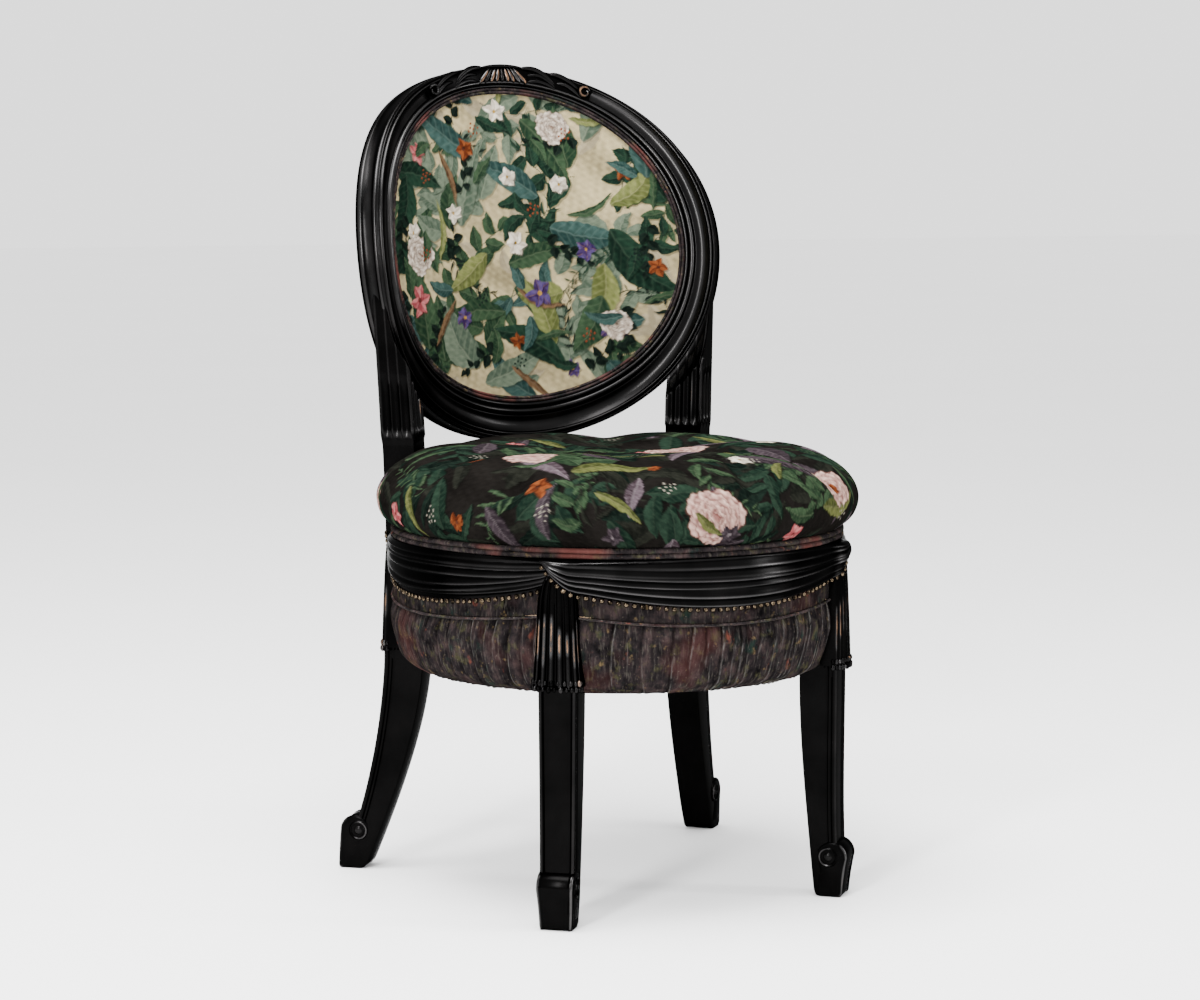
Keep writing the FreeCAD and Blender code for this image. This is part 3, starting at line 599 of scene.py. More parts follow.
# %% [markdown]
# Each leg runs up behind its tassel as a plain block to the seat's top edge. Front legs stop there. Front and
# rear legs are the same piece of work with other sizes, so one function makes both from a short list.

# %% Front legs up to the seat
leg_high, leg_half, foot_depth, block_inner = 250 * mm, 20.5 * mm, 30 * mm, 217 * mm
front_leg = {"inner_top": 217 * mm, "depth_top": 43 * mm, "splay": 11.5 * mm, "power": 2.0,
             "block_depth": 39 * mm, "toe_reach": 255 * mm, "foot_reach": 266.5 * mm}
rear_leg = {"inner_top": 222 * mm, "depth_top": 46 * mm, "splay": 63 * mm, "power": 1.65,
            "block_depth": 44 * mm, "toe_reach": 304.5 * mm, "foot_reach": 325 * mm}


def sabre_leg(carving, angle, inner_top, depth_top, splay, power, block_depth, toe_reach, foot_reach):
    """A leg that sweeps out to its toe, with the block behind its tassel."""
    z = np.concatenate([[0.4, 1.4, 2.8, 4.6], np.linspace(7, 256, 35)])[:, None] * mm
    fall = np.clip(1 - z / leg_high, 0, 1)
    depth = depth_top + (foot_depth - depth_top) * (1 - np.cos(math.pi * fall)) / 2
    centre = inner_top + depth_top / 2 + splay * fall ** power
    half = (leg_half / mm - 2 * fall - 0.9 * np.clip(1 - z / (30 * mm), 0, 1)) * mm
    heel = 5.5 * mm * np.clip(1 - z / (7 * mm), 0, 1) ** 2
    outer = centre + depth / 2
    t, r = square_section(half, centre - depth / 2 + heel, outer)
    near_edge = np.abs(np.abs(t) - half + 1.6 * mm) < 1.2 * mm
    # a painted sheen along the two edge beads of the outer face
    rub = np.where(near_edge & (r > outer - 1.2 * mm), 0.05, 0.0)
    carving.tube(on_seat(angle, r, z, t), rub)
    block = np.array([246, 252, 300, 350, 392])[:, None] * mm
    same = 0 * block
    t, r = square_section(leg_half + same, block_inner + same, block_inner + block_depth + same)
    carving.tube(on_seat(angle, r, block, t))
    foot_inner = inner_top + depth_top / 2 + splay - foot_depth / 2
    scroll_toe(carving, angle, toe_reach, foot_reach, foot_inner)


for side, way in sides:
    leg = Carving()
    sabre_leg(leg, way * front_angle, **front_leg)
    lacquered("sabre_leg_front_" + side, leg, 45, "front_leg_" + side)

# %% [markdown]
# A rear leg goes on upwards as a fluted post. Its outline is one closed line: four flutes on the front, three
# on each flank and four behind. Every point is a share across, a share deep and how far it lies in a flute.

# %% Outline of the fluted posts
post_half, post_depth, post_reach = 23 * mm, 42 * mm, 330 * mm
flute_foot, flute_deep, plinth = 500 * mm, 3.0 * mm, 1.6 * mm


def post_sizes(z):
    """Inner and outer radius of a post at a level."""
    rise = np.clip((z - rail_top) / (300 * mm), 0, 1.2)
    outer = 266 * mm + 15 * mm * rise ** 1.4
    return outer - post_depth + 6 * mm * rise, outer


def post_outline(z, share_across, share_deep):
    inner, outer = post_sizes(z)
    return inner + (outer - inner) * share_deep, post_half * share_across


def flutes(first, last, count):
    """Places along a face from first to last, with how far each lies in one of the flutes, from 0 to 1."""
    place = np.linspace(first, last, 8 * count + 1)
    return place, np.abs(np.sin(math.pi * count * (place - first) / (last - first)))


face, face_scoop = flutes(-0.86, 0.86, 4)
flank, flank_scoop = flutes(0.07, 0.93, 3)
outline = [(-1.0, 0.05, 0.0), (-0.95, 0.0, 0.0)] + [(v, 0.0, s) for v, s in zip(face, face_scoop)]
outline += [(0.95, 0.0, 0.0), (1.0, 0.05, 0.0)] + [(1.0, v, s) for v, s in zip(flank, flank_scoop)]
outline += [(1.0, 0.96, 0.0), (0.95, 1.0, 0.0)] + [(v, 1.0, s) for v, s in zip(face[::-1], face_scoop)]
outline += [(-0.95, 1.0, 0.0), (-1.0, 0.96, 0.0)] + [(-1.0, v, s) for v, s in zip(flank[::-1], flank_scoop)]
post_across, post_deep, post_scoop = [np.array(column)[None, :] for column in zip(*outline)]
on_front, on_rear, on_flank = post_deep == 0, post_deep == 1, np.abs(post_across) == 1
print("post outline of", len(outline), "points")

# %% [markdown]
# The post dies into the ring. On the real chair its top is cut to the ring's outer edge. Here every line of the
# post runs up until it meets that edge, found by stepping along it, so the tops of the flutes follow the curve
# of the ring by themselves. The ridges and feet of the flutes and the heads of the front flutes get a painted
# sheen, and one ridge on the front is worn through to copper.

# %% Rear legs with fluted posts
def ring_room(points):
    """How far points lie outside the ring's outer edge, seen along the back's own face."""
    v = points[..., 2] - back_z
    u = back_curve * np.arctan2(points[..., 0], points[..., 1] - back_y - back_lean * v + back_curve)
    turn = np.arctan2(v / pad_half_h, u / pad_half_w)
    span = ring_width(turn)
    return np.hypot(u, v) - np.hypot((pad_half_w + span) * np.cos(turn), (pad_half_h + span) * np.sin(turn))


def into_ring(points):
    """Draws the post's front and back into the ring's thickness as it nears the ring."""
    near = eased(np.clip(1 - ring_room(points) / (48 * mm), 0, 1))
    axis_y = back_y + back_lean * (points[..., 2] - back_z) - back_curve
    away = np.stack([points[..., 0], points[..., 1] - axis_y], axis=-1)
    reach = np.linalg.norm(away, axis=-1)
    least = back_curve - (45 * mm * (1 - near) - 4.5 * mm * near)
    most = back_curve + 70 * mm * (1 - near) + 27 * mm * near
    held = np.clip(reach, least, most) / reach
    return np.stack([points[..., 0] * held, axis_y + away[..., 1] * held, points[..., 2]], axis=-1)


def fluted_post(carving, angle):
    steps = np.linspace(rail_top, rail_top + post_reach, 240)[:, None]
    deep, across = post_outline(steps, post_across, post_deep)
    inside = ring_room(on_seat(angle, deep, steps, across)) < -9 * mm
    top = np.where(inside.any(axis=0), steps[inside.argmax(axis=0), 0], rail_top + post_reach)[None, :]
    t = (np.linspace(0, 1, 72) ** 0.9)[:, None]
    z = rail_top + (top - rail_top) * t
    above = np.clip((z - flute_foot - (1 - post_scoop) * 3 * mm) / (7 * mm), 0, 1)
    deep, across = post_outline(z, post_across, post_deep)
    stop = np.where(on_flank, 27 * mm, 4 * mm)
    below_ring = np.clip((ring_room(on_seat(angle, deep, z, across)) - stop) / (9 * mm), 0, 1)
    cut = flute_deep * post_scoop ** 0.8 * np.sqrt(above * below_ring)
    inset = cut + plinth * (1 - np.clip((z - flute_foot + 6 * mm) / (5 * mm), 0, 1))
    deep = deep + np.where(on_front, inset, np.where(on_rear, -inset, 0))
    across = across - np.where(on_flank, np.sign(across) * inset, 0)
    # painted sheen on the flute ridges, feet and front heads; the one ridge below is worn to copper
    ridge_sheen = np.where((post_scoop < 0.25) & (above > 0.4), 0.06, 0.0)
    flute_foot_sheen = 0.10 * ((above > 0.05) & (above < 0.7))
    head = (above > 0.9) & (below_ring > 0.05) & (below_ring < 0.75)
    flute_head_sheen = 0.16 * ((post_scoop > 0.4) & on_front & head)
    worn_length = np.exp(-((z - 535 * mm) / (16 * mm)) ** 2)
    worn_ridge = 0.80 * ((np.abs(post_across + 0.43) < 0.03) & on_front) * worn_length
    rub = ridge_sheen + flute_foot_sheen + flute_head_sheen + worn_ridge
    carving.tube(into_ring(on_seat(angle, deep, z, across)), rub)


for side, way in sides:
    leg = Carving()
    sabre_leg(leg, way * rear_angle, **rear_leg)
    fluted_post(leg, way * rear_angle)
    lacquered("sabre_leg_rear_" + side, leg, 45, "rear_leg_" + side)

# %% [markdown]
# Carved drapery hangs in a swag along each rail. At the front legs the front swag climbs across the tassel's
# top to a knot on its far side, and the side swags tuck in behind it. The tables say how far the lower edge
# hangs below the rail's top at distances from a leg, for each kind of end, all in millimetres.

# %% Lower edge of the swags
hang_tables = {"over": [(-17.5, 1.5), (-12.5, 7), (-7.5, 13.5), (-1.5, 19.5), (5, 25.5), (13, 31.5),
                        (21, 34.5), (45, 38.5)],
               "tuck": [(0, 21), (16, 29), (30, 33.5), (45, 37)],
               "plain": [(0, 21), (16, 25), (30, 29), (45, 32.5)]}
swag_ends = {"front": ("over", "over"), "right": ("tuck", "plain"), "rear": ("plain", "plain"),
             "left": ("plain", "tuck")}
end_bulge = {"over": 9.5, "tuck": 4.5, "plain": 3.0}
swag_drop, end_reach, past_leg, knot_radius, skin_radius = 51.0, 45, 17.5, 258, 252


def span_angles(span, count):
    """Angles along a span, past the legs where its swag climbs over, with distances to both legs in mm."""
    first, last = spans[span]
    past = [math.degrees(past_leg / knot_radius) if end == "over" else 0.0 for end in swag_ends[span]]
    angle = np.linspace(first - past[0], last + past[1], count)[:, None]
    return angle, np.radians(angle - first) * skin_radius, np.radians(last - angle) * skin_radius


def hang(span, to_first, to_last):
    """Level of a swag's lower edge at distances to the legs at its two ends."""
    half = (to_first + to_last) / 2
    drop = swag_drop
    for away, end in zip((to_first, to_last), swag_ends[span]):
        table = np.array(hang_tables[end])
        sag = swag_drop - (swag_drop - table[-1, 1]) * ((half - away) / (half - end_reach)) ** 2
        hung = np.where(away < half, sag, swag_drop)
        drop = np.minimum(drop, np.where(away > end_reach, hung, np.interp(away, table[:, 0], table[:, 1])))
    return rail_top - drop * mm


def swag_bulge(span, to_first, to_last):
    """How far a swag stands out to pass over the leg blocks and tassels at its ends, in metres."""
    rise = [end_bulge[end] / (1 + (away / 20) ** 4) for away, end in zip((to_first, to_last), swag_ends[span])]
    return (rise[0] + rise[1]) * mm


print("swags hang", swag_drop, "mm below the rail's top")

# %% [markdown]
# A swag is a skin between the rail's top and its hanging lower edge. Broad folds run along it, soft above and
# cut in sharply below, and crowd together at the knots, because the same number of folds has less height there.
# The crests of every swag get a painted sheen, strongest on the front swag, their hollows get painted shade,
# and the whole swag is lightened a little.

# %% Carved swags
fold_count = 7


def swag_folds(share, down, tall, seed):
    """Height of the folds of a swag, in metres, and a painted sheen on their crests and painted shade in their
    hollows.
    """
    rng = random.Random(seed)
    rise, fold_crest_sheen, hollow = [0 * share * down for layer in range(3)]
    for k in range(fold_count):
        level = (k + 0.6) / fold_count
        ends = [level + rng.uniform(-0.07, 0.07) for knot in range(2)]
        middle = level ** 1.05 + rng.uniform(-0.06, 0.06)
        line = middle + (ends[1] - ends[0]) / 2 * share + ((ends[0] + ends[1]) / 2 - middle) * share ** 2
        off = (down - line) * tall / rng.uniform(0.8, 1.3)
        ridge = np.exp(-np.where(off < 0, off / 5.0, off / 1.0) ** 2)
        gap = rng.uniform(-0.8, 0.8)
        fade = 1 - 0.7 * np.exp(-((share - gap) / 0.30) ** 2)
        strong = rng.uniform(2.2, 3.6) * (0.6 + 0.4 * np.abs(share)) * fade
        rise = np.maximum(rise, strong * ridge)
        # painted sheen along each fold's crest, and painted shade in the hollow below it
        fold_crest_sheen = np.maximum(fold_crest_sheen, fade * rng.uniform(0.14, 0.34) * np.exp(-((off + 0.7) / 0.95) ** 2))
        hollow = np.maximum(hollow, fade * np.exp(-((off - 1.9) / 1.3) ** 2))
    soft = np.sin(np.clip(down * 9, 0, 1) * math.pi / 2) * np.clip(tall / 18, 0.25, 1)
    # a small painted sheen over the whole swag, plus the crest sheen, less the hollow shade
    return rise * soft * mm, 0.022 + (fold_crest_sheen - 0.032 * hollow) * soft


for number, span in enumerate(spans):
    angle, to_first, to_last = span_angles(span, 190)
    share = np.linspace(-1, 1, 190)[:, None]
    down = np.linspace(0, 1, 80)[None, :]
    low, top = hang(span, to_first, to_last), rail_top + 1.8 * mm
    z = top + (low - top) * down
    folds, rub = swag_folds(share, down, (top - low) / mm, number + 2)
    # the side and rear swags get about half the painted sheen and shade of the front one
    rub = rub * (1.0 if span == "front" else 0.55)
    rounded = 253.6 * mm + 3.6 * mm * np.sin(math.pi * down) - 1.2 * mm * down
    radius = rounded + folds + swag_bulge(span, to_first, to_last)
    back = on_seat(angle, carcase, np.concatenate([low, top + 0 * low], axis=1))
    grid = np.concatenate([on_seat(angle, radius, z), back], axis=1)
    swag = Carving().tube(grid, np.hstack([rub, 0 * low, 0 * low]))
    lacquered("draped_swag_" + span, swag, 60, "swag_" + span)

# %% [markdown]
# A carved tassel hangs where the swags meet at each leg top. It is a bundle of round cords that widen downwards
# and end in small lobes, so its skin is an arch across the leg block with a half round for every cord. Two rows
# of little carved loops finish its foot. Its shape is a list of levels and full widths.

# %% Tassels over the legs
cords, tassel_low, tassel_high = 8, 255 * mm, 387 * mm
tassel_shape = np.array([(253, 55), (275, 51), (300, 47.5), (344, 43), (355, 41), (366, 36), (374, 29),
                         (381, 19), (387, 8)]) * mm
block_face = {"front": 256 * mm, "rear": 261 * mm}
# most loops get a faint painted sheen or none, and one choice in six is worn through to copper
loop_wear_and_sheen = (0.0, 0.02, 0.03, 0.06, 0.09, 0.6)


def foot_loops(carving, angle, block_outer, rng):
    """Two rows of small carved loops across a tassel's foot."""
    rise = np.linspace(0.03, 0.97, 7)[:, None] * math.pi
    turn = np.linspace(0, 2 * math.pi, 9, endpoint=False)[None, :]
    for row, count, level in ((0, 12, 264), (1, 13, 257.5)):
        for k in range(count):
            spot = (2 * k / (count - 1) - 1) * 0.97 * math.pi / 2
            lump = (2.4 + 0.5 * math.sin(k * 2.7 + row)) * mm
            out = block_outer + (11.6 + 0.8 * row) * mm * math.cos(spot) ** 0.75
            across = 26.4 * mm * math.sin(spot) + lump * np.sin(rise) * np.sin(turn)
            loop = on_seat(angle, out + lump * np.sin(rise) * np.cos(turn),
                           level * mm + lump * 1.35 * np.cos(rise), across)
            carving.tube(loop, rng.choice(loop_wear_and_sheen))


def tassel(angle, block_outer, seed):
    carving, rng = Carving(), random.Random(seed)
    q = np.linspace(-1, 1, 12 * cords + 1)[None, :]
    down = np.linspace(0, 1, 44)[:, None]
    place = (q + 1) / 2 * cords
    x = 2 * (place - np.floor(place)) - 1
    roll = np.sqrt(np.clip(1 - (x / 0.80) ** 2, 0, 1))
    z = tassel_high + (tassel_low + (1 - roll) * 4 * mm - tassel_high) * down
    half = np.interp(z, tassel_shape[:, 0], tassel_shape[:, 1]) / 2
    proud = (7.0 + 4.0 * down) * mm
    arch = np.abs(np.cos(q * math.pi / 2)) ** 0.75
    tuck = 1 - 0.55 * np.clip((down - 0.955) / 0.045, 0, 1) ** 2
    depth = (1.0 + 2.4 * np.clip(down * 1.6, 0, 1)) * mm
    across = half * np.sin(q * math.pi / 2 * 0.98)
    radius = block_outer + (proud * arch + depth * (roll - 0.55)) * tuck
    cheek = block_outer - 13.5 * mm + 0 * down
    grid = on_seat(angle, np.hstack([cheek, radius, cheek]), np.hstack([z[:, :1], z, z[:, -1:]]),
                   np.hstack([-half[:, :1], across, half[:, -1:]]))
    worn = 0 * z
    for k in range(cords):
        start, stop = rng.uniform(0.32, 0.54), rng.uniform(0.66, 0.90)
        here = (np.floor(place) == k) * np.exp(-((x - 0.1) / 0.27) ** 2)
        patch = np.clip((down - start) * 14, 0, 1) * np.clip((stop - down) * 14, 0, 1) * rng.uniform(0.75, 1.2)
        # a worn copper stretch on each cord, and from its start down to the foot a faint painted sheen along the
        # cord
        worn = worn + here * np.maximum(patch, 0.07 * np.clip((down - start) * 9, 0, 1))
    carving.tube(grid, np.hstack([0 * down, worn, 0 * down]))
    foot_loops(carving, angle, block_outer, rng)
    return carving


for end, angle in (("front", front_angle), ("rear", rear_angle)):
    for side, way in sides:
        name = end + "_tassel_" + side
        lacquered("carved_" + name, tassel(way * angle, block_face[end], len(name) + way), 60, name)

# %% [markdown]
# A row of small round-headed nails follows each swag's lower edge and climbs over the knots. One nail is
# repeated some two hundred times along a path, which is work for Geometry Nodes: the tree puts a flattened
# sphere on every point, turned to face out, then realizes the copies into plain mesh.

# %% Tree that grows nails on points
def nail_tree():
    tree = bpy.data.node_groups.new("nail_heads", "GeometryNodeTree")
    face = tree.interface
    face.new_socket("Points", in_out="INPUT", socket_type="NodeSocketGeometry")
    for label in ("Head radius", "Head height"):
        face.new_socket(label, in_out="INPUT", socket_type="NodeSocketFloat")
    face.new_socket("Finish", in_out="INPUT", socket_type="NodeSocketMaterial")
    face.new_socket("Nails", in_out="OUTPUT", socket_type="NodeSocketGeometry")
    new = tree.nodes.new
    start, end = new("NodeGroupInput"), new("NodeGroupOutput")
    head, shape = new("GeometryNodeMeshUVSphere"), new("ShaderNodeCombineXYZ")
    sit, turn = new("GeometryNodeInstanceOnPoints"), new("FunctionNodeAlignRotationToVector")
    facing, real = new("GeometryNodeInputNamedAttribute"), new("GeometryNodeRealizeInstances")
    smooth, paint = new("GeometryNodeSetShadeSmooth"), new("GeometryNodeSetMaterial")
    head.inputs["Segments"].default_value, head.inputs["Rings"].default_value = 10, 6
    head.inputs["Radius"].default_value = 1.0
    facing.data_type = "FLOAT_VECTOR"
    facing.inputs["Name"].default_value = "facing"
    turn.axis = "Z"
    wires = [(start, "Points", sit, "Points"), (head, "Mesh", sit, "Instance"),
             (facing, "Attribute", turn, "Vector"), (turn, "Rotation", sit, "Rotation"),
             (start, "Head radius", shape, "X"), (start, "Head radius", shape, "Y"),
             (start, "Head height", shape, "Z"), (shape, "Vector", sit, "Scale"),
             (sit, "Instances", real, "Geometry"), (real, "Geometry", smooth, "Geometry"),
             (smooth, "Geometry", paint, "Geometry"), (start, "Finish", paint, "Material"),
             (paint, "Geometry", end, "Nails")]
    for source, output, target, entry in wires:
        tree.links.new(source.outputs[output], target.inputs[entry])
    return tree


def grown(name, tree, points, facing, **values):
    """Runs a Geometry Nodes tree on points and gives back the plain mesh."""
    base = bpy.data.meshes.new(name + "_points")
    base.from_pydata(points.tolist(), [], [])
    base.attributes.new("facing", "FLOAT_VECTOR", "POINT").data.foreach_set("vector", facing.reshape(-1))
    seed = placed(name + "_points", base)
    grow = seed.modifiers.new("grow", "NODES")
    grow.node_group = tree
    for socket in tree.interface.items_tree:
        if socket.in_out == "INPUT" and socket.name in values:
            grow[socket.identifier] = values[socket.name]
    view = bpy.context.evaluated_depsgraph_get()
    mesh = bpy.data.meshes.new_from_object(seed.evaluated_get(view))
    mesh.name = name
    bpy.data.objects.remove(seed)
    return mesh


print("nail tree ready")

# %% [markdown]
# The nails stand at even steps along the lower edges. None are set where a swag's end is hidden behind a knot.
# On the rear legs a short row climbs each side of the tassel's top instead, listed as steps across, levels and
# how far each nail stands out.

# %% Rows of nails
nail_radius, nail_height, nail_step = 2.8 * mm, 2.3 * mm, 8.6 * mm
nails_hidden = {"over": -math.inf, "tuck": 17, "plain": 25}
knot_nails = [(22.5, 364, -1.5), (19, 369.5, 1), (15.2, 375, 3), (11.2, 380, 5), (7, 384.5, 7), (2.6, 388, 8.5)]
nail_spots, nail_facing = [], []
for span in spans:
    angle, to_first, to_last = span_angles(span, 1200)
    low = hang(span, to_first, to_last) - 2.6 * mm
    edge = on_seat(angle, 252.4 * mm + swag_bulge(span, to_first, to_last) * 1.22, low).reshape(-1, 3)
    gone = length_along(edge)
    for step in np.arange(3 * mm, gone[-1] - 2 * mm, nail_step):
        k = np.searchsorted(gone, step)
        to_ends = zip((to_first, to_last), swag_ends[span])
        if not any(away[k, 0] < nails_hidden[end] for away, end in to_ends):
            nail_spots.append(edge[k])
            nail_facing.append(on_seat(angle[k, 0], 1.0, 0.0) - on_seat(angle[k, 0], 0.0, 0.0))
for angle in (-rear_angle, rear_angle):
    for way in (-1, 1):
        for across, level, proud in knot_nails:
            radius = block_face["rear"] + proud * mm
            nail_spots.append(on_seat(angle, radius, level * mm, way * across * mm))
            nail_facing.append(unit(on_seat(angle, 1.0, 0.25, way * across / 22) - on_seat(0, 0.0, 0.0)))
nails = grown("swag_nails", nail_tree(), np.array(nail_spots), np.array(nail_facing),
              **{"Head radius": nail_radius, "Head height": nail_height, "Finish": bronze})
finished("swag_nails", nails, bronze, "bronze_nails", *["swag_nails_" + span for span in spans])

# %% [markdown]
# The printed velvet is this file's own botanical design: leaves, ferns, open blossoms and berries on an ivory
# ground for the back and on a nearly black ground for the seat. Leaves and petals could be built from shader
# nodes, but overlapping motifs with veins are far easier to paint in code. So the print is painted into a
# colour attribute on a finely divided mesh, and the shader adds nap and grain to it.

# %% Brushes of the print
full_turn, golden_turn = (0, 6.28), 2.399963


class Print:
    def __init__(self, flat, ground, seed):
        self.flat, self.rng, self.soft = flat, random.Random(seed), 0.6 * mm
        self.fleck = self.waves(8 * mm)
        self.ragged = flat + 0.6 * mm * np.stack([self.waves(16 * mm), self.waves(16 * mm)], axis=-1)
        cloud = 1 + 0.20 * self.waves(60 * mm) + 0.12 * self.fleck
        self.colour = np.array(ground, float) * np.clip(cloud, 0.45, 1.4)[:, None]

    def waves(self, length, count=7):
        """An uneven value of about -1 to 1 over the cloth, from crossing waves of about one length."""
        total = 0.0
        for wave in range(count):
            turn, phase, size = [self.rng.uniform(*ends) for ends in (full_turn, full_turn, (0.6, 1.6))]
            along = self.flat @ np.array((math.cos(turn), math.sin(turn)))
            total = total + np.sin(along * full_turn[1] / (length * size) + phase)
        return total / math.sqrt(count)

    def near(self, centre, reach):
        away = np.abs(self.flat - np.array(centre))
        return np.nonzero((away[:, 0] < reach) & (away[:, 1] < reach))[0]

    def lay(self, index, mask, colour):
        self.colour[index] += np.clip(mask, 0, 1)[:, None] * (colour - self.colour[index])

    def turned(self, index, centre, angle):
        away = self.ragged[index] - np.array(centre)
        c, s = math.cos(angle), math.sin(angle)
        return away[:, 0] * c + away[:, 1] * s, away[:, 1] * c - away[:, 0] * s

    def leaf(self, base, angle, length, width, tones, shade=0.5, veined=0.35):
        """A leaf with a lit and a dark half, a thin midrib, faint side veins and a soft shadow beside it."""
        index = self.near(base, length * 1.15)
        dark, light, vein = [np.array(tone) for tone in tones]
        bow, lit_side = self.rng.uniform(-0.15, 0.15) * length, self.rng.choice((-1, 1))
        for spot, shadow in (((base[0] + 1.4 * mm, base[1] - 1.8 * mm), True), (base, False)):
            x, y = self.turned(index, spot, angle)
            t = np.clip(x / length, 0, 1)
            y = y - bow * np.sin(t * math.pi)
            half = width / 2 * np.sin(math.pi * t ** 0.75) ** 0.85
            inside = np.clip((half - np.abs(y)) / self.soft, 0, 1) * ((x > 0) & (x < length))
            if shadow:
                self.lay(index, inside * shade, dark * 0.3)
                continue
            tone = 0.08 + 0.50 * (y * lit_side > 0) + 0.22 * t + 0.20 * self.fleck[index]
            tone = np.clip(tone - 0.25 * np.exp(-(np.abs(y) / (0.12 * width)) ** 2), 0, 1)[:, None]
            side = (t - 0.8 * np.abs(y) / length) * 9
            rib = np.exp(-(np.abs(side - np.round(side)) / 0.12) ** 2) * 0.45
            spine = np.exp(-(y / (0.45 * mm + 0.008 * length * (1 - t))) ** 2)
            veins = (np.maximum(rib, spine) * veined)[:, None]
            self.lay(index, inside, (dark + (light - dark) * tone) * (1 - veins) + vein * veins)

    def petals(self, centre, radius, count, tones, twist, plump=0.42):
        """An open flower of pointed petals round a small dark eye."""
        for k in range(count):
            turn = twist + 2 * math.pi * (k + self.rng.uniform(-0.15, 0.15)) / count
            self.leaf(centre, turn, radius * self.rng.uniform(0.85, 1.1), radius * plump * 2, tones, 0.45, 0.25)
        index = self.near(centre, radius * 0.4)
        x, y = self.turned(index, centre, 0.0)
        eye = np.array(tones[2]) * (1 + 0.4 * self.fleck[index])[:, None]
        self.lay(index, (radius * 0.17 - np.hypot(x, y)) / self.soft, eye)

    def rosette(self, centre, radius, heart, rim, turns=34):
        """A many-petalled bloom: cupped petals laid from the outside in."""
        for k in range(turns):
            out, turn = radius * (1 - k / turns) * 0.72, k * golden_turn
            spot = (centre[0] + out * math.cos(turn), centre[1] + out * math.sin(turn))
            size = radius * (0.44 - 0.26 * k / turns)
            index = self.near(spot, size * 1.3)
            x, y = self.turned(index, spot, turn)
            r, a = np.hypot(x * 1.25, y), np.arctan2(y, x)
            edge = size * (1 + 0.08 * np.sin(a * 7 + k))
            tone = np.clip((x / size + 1) / 2 + 0.12 * self.fleck[index], 0, 1)[:, None] ** 2.2
            ribbed = (1 - 0.16 * np.abs(np.sin(y / size * 9)))[:, None]
            paint = (np.array(heart) * (1 - tone) + np.array(rim) * tone) * ribbed
            dim = 0.45 + 0.55 * np.clip((edge - r) / (1.8 * mm), 0, 1)
            self.lay(index, np.clip((edge * 1.15 - r) / (2 * mm), 0, 1) * 0.55, np.array(heart) * 0.45)
            self.lay(index, (edge - r) / self.soft, paint * dim[:, None])

    def stem(self, points, width, colour):
        line, length = smooth_line(points, 40)
        index = self.near(line.mean(axis=0), length * 0.75)
        gap = np.full(len(index), 1.0)
        for spot in line:
            gap = np.minimum(gap, np.hypot(*(self.ragged[index] - spot).T))
        self.lay(index, (width / 2 - gap) / self.soft + 0.5, np.array(colour))
        return line

    def spray(self, base, angle, length, leaves, size, broad, tones):
        """A bowed stem with leaves on alternate sides that grow smaller to its tip."""
        bow = self.rng.uniform(-0.8, 0.8)
        knots = []
        for k in range(4):
            out, turn = length * k / 3, angle + bow * k / 3
            knots.append((base[0] + out * math.cos(turn), base[1] + out * math.sin(turn)))
        line = self.stem(knots, 1.5 * mm, np.array(tones[0]) * 1.5)
        for k in range(leaves):
            spot = line[int((k + 0.4) / leaves * 39)]
            reach = size * (1 - 0.45 * k / leaves) * self.rng.uniform(0.8, 1.15)
            turn = angle + bow * (k / leaves) * 1.3 + (-1) ** k * self.rng.uniform(0.6, 1.15)
            self.leaf(tuple(spot), turn, reach, reach * broad, tones)
        self.leaf(tuple(line[-1]), angle + bow * 1.4, size * 0.6, size * 0.6 * broad, tones)

    def berries(self, centre, spread, count, radius, colour):
        for k in range(count):
            turn, out = k * 2.4, spread * math.sqrt((k + 0.3) / count)
            spot = (centre[0] + out * math.cos(turn), centre[1] + out * math.sin(turn))
            index = self.near(spot, radius * 1.8)
            x, y = self.turned(index, spot, 0.0)
            glow = np.exp(-(((x + 0.3 * radius) ** 2 + (y - 0.3 * radius) ** 2) / (0.4 * radius) ** 2))[:, None]
            self.lay(index, (radius - np.hypot(x, y)) / self.soft, np.array(colour) * (0.8 + 0.7 * glow))

    def scatter(self, half_w, half_h, gap, count):
        """Places over an oval, no two nearer than a gap."""
        places = []
        for attempt in range(count * 60):
            a, r = self.rng.uniform(0, 2 * math.pi), math.sqrt(self.rng.random())
            spot = (half_w * r * math.cos(a), half_h * r * math.sin(a))
            if all(math.dist(spot, other) > gap for other in places):
                places.append(spot)
            if len(places) == count:
                break
        return places

    def drawn(self, size):
        """A size drawn between two ends, or the size itself where only one number is given."""
        return self.rng.uniform(*size) if isinstance(size, tuple) else size

    def one_of(self, palettes):
        return self.rng.choice(palettes) if len(palettes) > 1 else palettes[0]

    def strew_leaves(self, area, gap, count, length, width, palettes, shade=0.5):
        for spot in self.scatter(*area, gap, count):
            turn, reach, wide = [self.drawn(size) for size in (full_turn, length, width)]
            self.leaf(spot, turn, reach, wide, self.one_of(palettes), shade)

    def strew_sprays(self, area, gap, count, length, leaves, size, broad, palettes):
        for spot in self.scatter(*area, gap, count):
            turn, reach, leaf, share = [self.drawn(each) for each in (full_turn, length, size, broad)]
            self.spray(spot, turn, reach, leaves, leaf, share, self.one_of(palettes))

    def strew_flowers(self, area, gap, count, radius, plump, palettes):
        for k, spot in enumerate(self.scatter(*area, gap, count)):
            reach, petals = self.drawn(radius), self.rng.choice((5, 6))
            twist, fat = self.drawn(full_turn), self.drawn(plump)
            self.petals(spot, reach, petals, palettes[k % len(palettes)], twist, fat)


print("print brushes ready")

# %% [markdown]
# The two grounds share their brushes but not their colours. A tone of a leaf is three colours: its dark half,
# its lit half and its midrib. Colours here are linear light, so they look darker as numbers than on the cloth.

